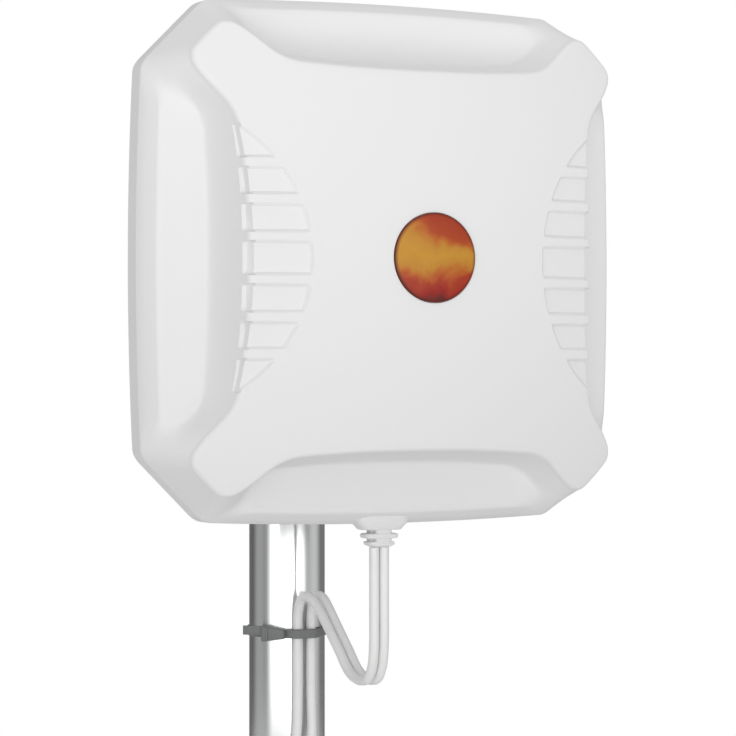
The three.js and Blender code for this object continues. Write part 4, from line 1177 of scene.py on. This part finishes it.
BEVELS = {"antenna_bracket": 0.6, "pole_bracket": 0.6, "rear_cover": 0.5}
SMALL_BEVEL = 0.25
WELD_DISTANCE = 1e-6                # in metres


def dress(node, obj):
    """Gives a CAD node its material, softened edges and smooth shading."""
    obj.data.materials.clear()
    obj.data.materials.append(MATERIALS[NODE_SLOT[node]])
    weld = obj.modifiers.new("weld", "WELD")
    weld.merge_threshold = WELD_DISTANCE
    bevel = obj.modifiers.new("bevel", "BEVEL")
    bevel.width = BEVELS.get(node, SMALL_BEVEL) * MM
    bevel.segments = 2
    bevel.limit_method = "ANGLE"
    bevel.angle_limit = math.radians(40)
    soften(obj.data, 40.0)


for node_name, node_object in frame["nodes"].items():
    if not node_object.hide_render:
        dress(node_name, node_object)


# Floor and world -------------------------------------------------------

FLOOR_RADIUS = 1100.0
FLOOR_LEVEL = -1.0


def make_floor():
    finish = Finish("floor_pale", grey(0.8), 0.7)
    finish.colour_from(finish.noise(120.0, 3.0), [(0.3, grey(0.79)), (0.7, grey(0.81))])
    rings = [[Vector((0, 0, FLOOR_LEVEL))]]
    for share in (0.1, 0.3, 0.6, 1.0):
        rings.append([Vector((a, b, FLOOR_LEVEL)) for a, b in circle(96, share * FLOOR_RADIUS)])
    mesh = Shell().loft(rings).mesh("floor")
    mesh.materials.append(finish.material)
    floor = linked_object("floor", mesh)


# The studio's light: an even level, and glows given as (towards the glow, sharpness, strength).
EVEN_LIGHT = 0.35
GLOWS = [((0.0, 0.0, 1.0), 1.0, 0.59), ((-0.303, -0.808, -0.505), 4.0, 2.92)]
# What polished parts reflect, from behind the antenna round to where the photographer stands.
BRIGHT_SIDE = (-0.4277, -0.9039, 0.0)
REFLECTED = [
    (0.22, 0.17), (0.40, 0.50), (0.52, 0.52), (0.67, 0.42), (0.73, 0.52), (0.79, 1.2), (0.86, 2.4),
]
DIM_SIDE = (-0.9039, 0.4277, 0.0)
DIMMING = -0.25


def facing(tree, direction):
    """How far a ray points in a direction, from -1 to 1."""
    place = tree.nodes.new("ShaderNodeTexCoord")
    product = tree.nodes.new("ShaderNodeVectorMath")
    product.operation = "DOT_PRODUCT"
    product.inputs[1].default_value = direction
    tree.links.new(place.outputs["Generated"], product.inputs[0])
    return product.outputs["Value"]


def glow_light(tree):
    """The light that falls on the antenna from all round."""
    total = EVEN_LIGHT
    for direction, sharpness, strength in GLOWS:
        share = math_node(tree, "MAXIMUM", facing(tree, direction), 0.0)
        glow = math_node(tree, "POWER", share, sharpness)
        total = math_node(tree, "MULTIPLY_ADD", glow, strength, total)
    return total


def reflected_light(tree):
    """A ramp that's bright in front of the antenna and grey behind it, dimmer to one side."""
    share = math_node(tree, "MULTIPLY_ADD", facing(tree, BRIGHT_SIDE), 0.5, 0.5)
    level = ramp_node(tree, share, [(position, grey(value)) for position, value in REFLECTED])
    dimmed = math_node(tree, "MULTIPLY_ADD", facing(tree, DIM_SIDE), DIMMING, 1.0)
    return math_node(tree, "MULTIPLY", level, dimmed)


def background(tree, colour):
    node = tree.nodes.new("ShaderNodeBackground")
    tree.links.new(colour, node.inputs["Color"])
    return node.outputs["Background"]


def make_world():
    """A white studio, with a crisper surrounding for reflections than for light."""
    world = bpy.data.worlds.new("studio")
    scene.world = world
    world.use_nodes = True
    tree = world.node_tree
    white = tree.nodes["Background"]
    white.inputs["Color"].default_value = (1.0, 1.0, 1.0, 1.0)
    path = tree.nodes.new("ShaderNodeLightPath")
    light = background(tree, glow_light(tree))
    rays = {"Is Glossy Ray": background(tree, reflected_light(tree)), "Is Camera Ray": white.outputs[0]}
    for ray, surface in rays.items():
        mix = tree.nodes.new("ShaderNodeMixShader")
        tree.links.new(path.outputs[ray], mix.inputs["Fac"])
        tree.links.new(light, mix.inputs[1])
        tree.links.new(surface, mix.inputs[2])
        light = mix.outputs["Shader"]
    tree.links.new(light, tree.nodes["World Output"].inputs["Surface"])


make_floor()
make_world()
scene.view_settings.view_transform = "Standard"
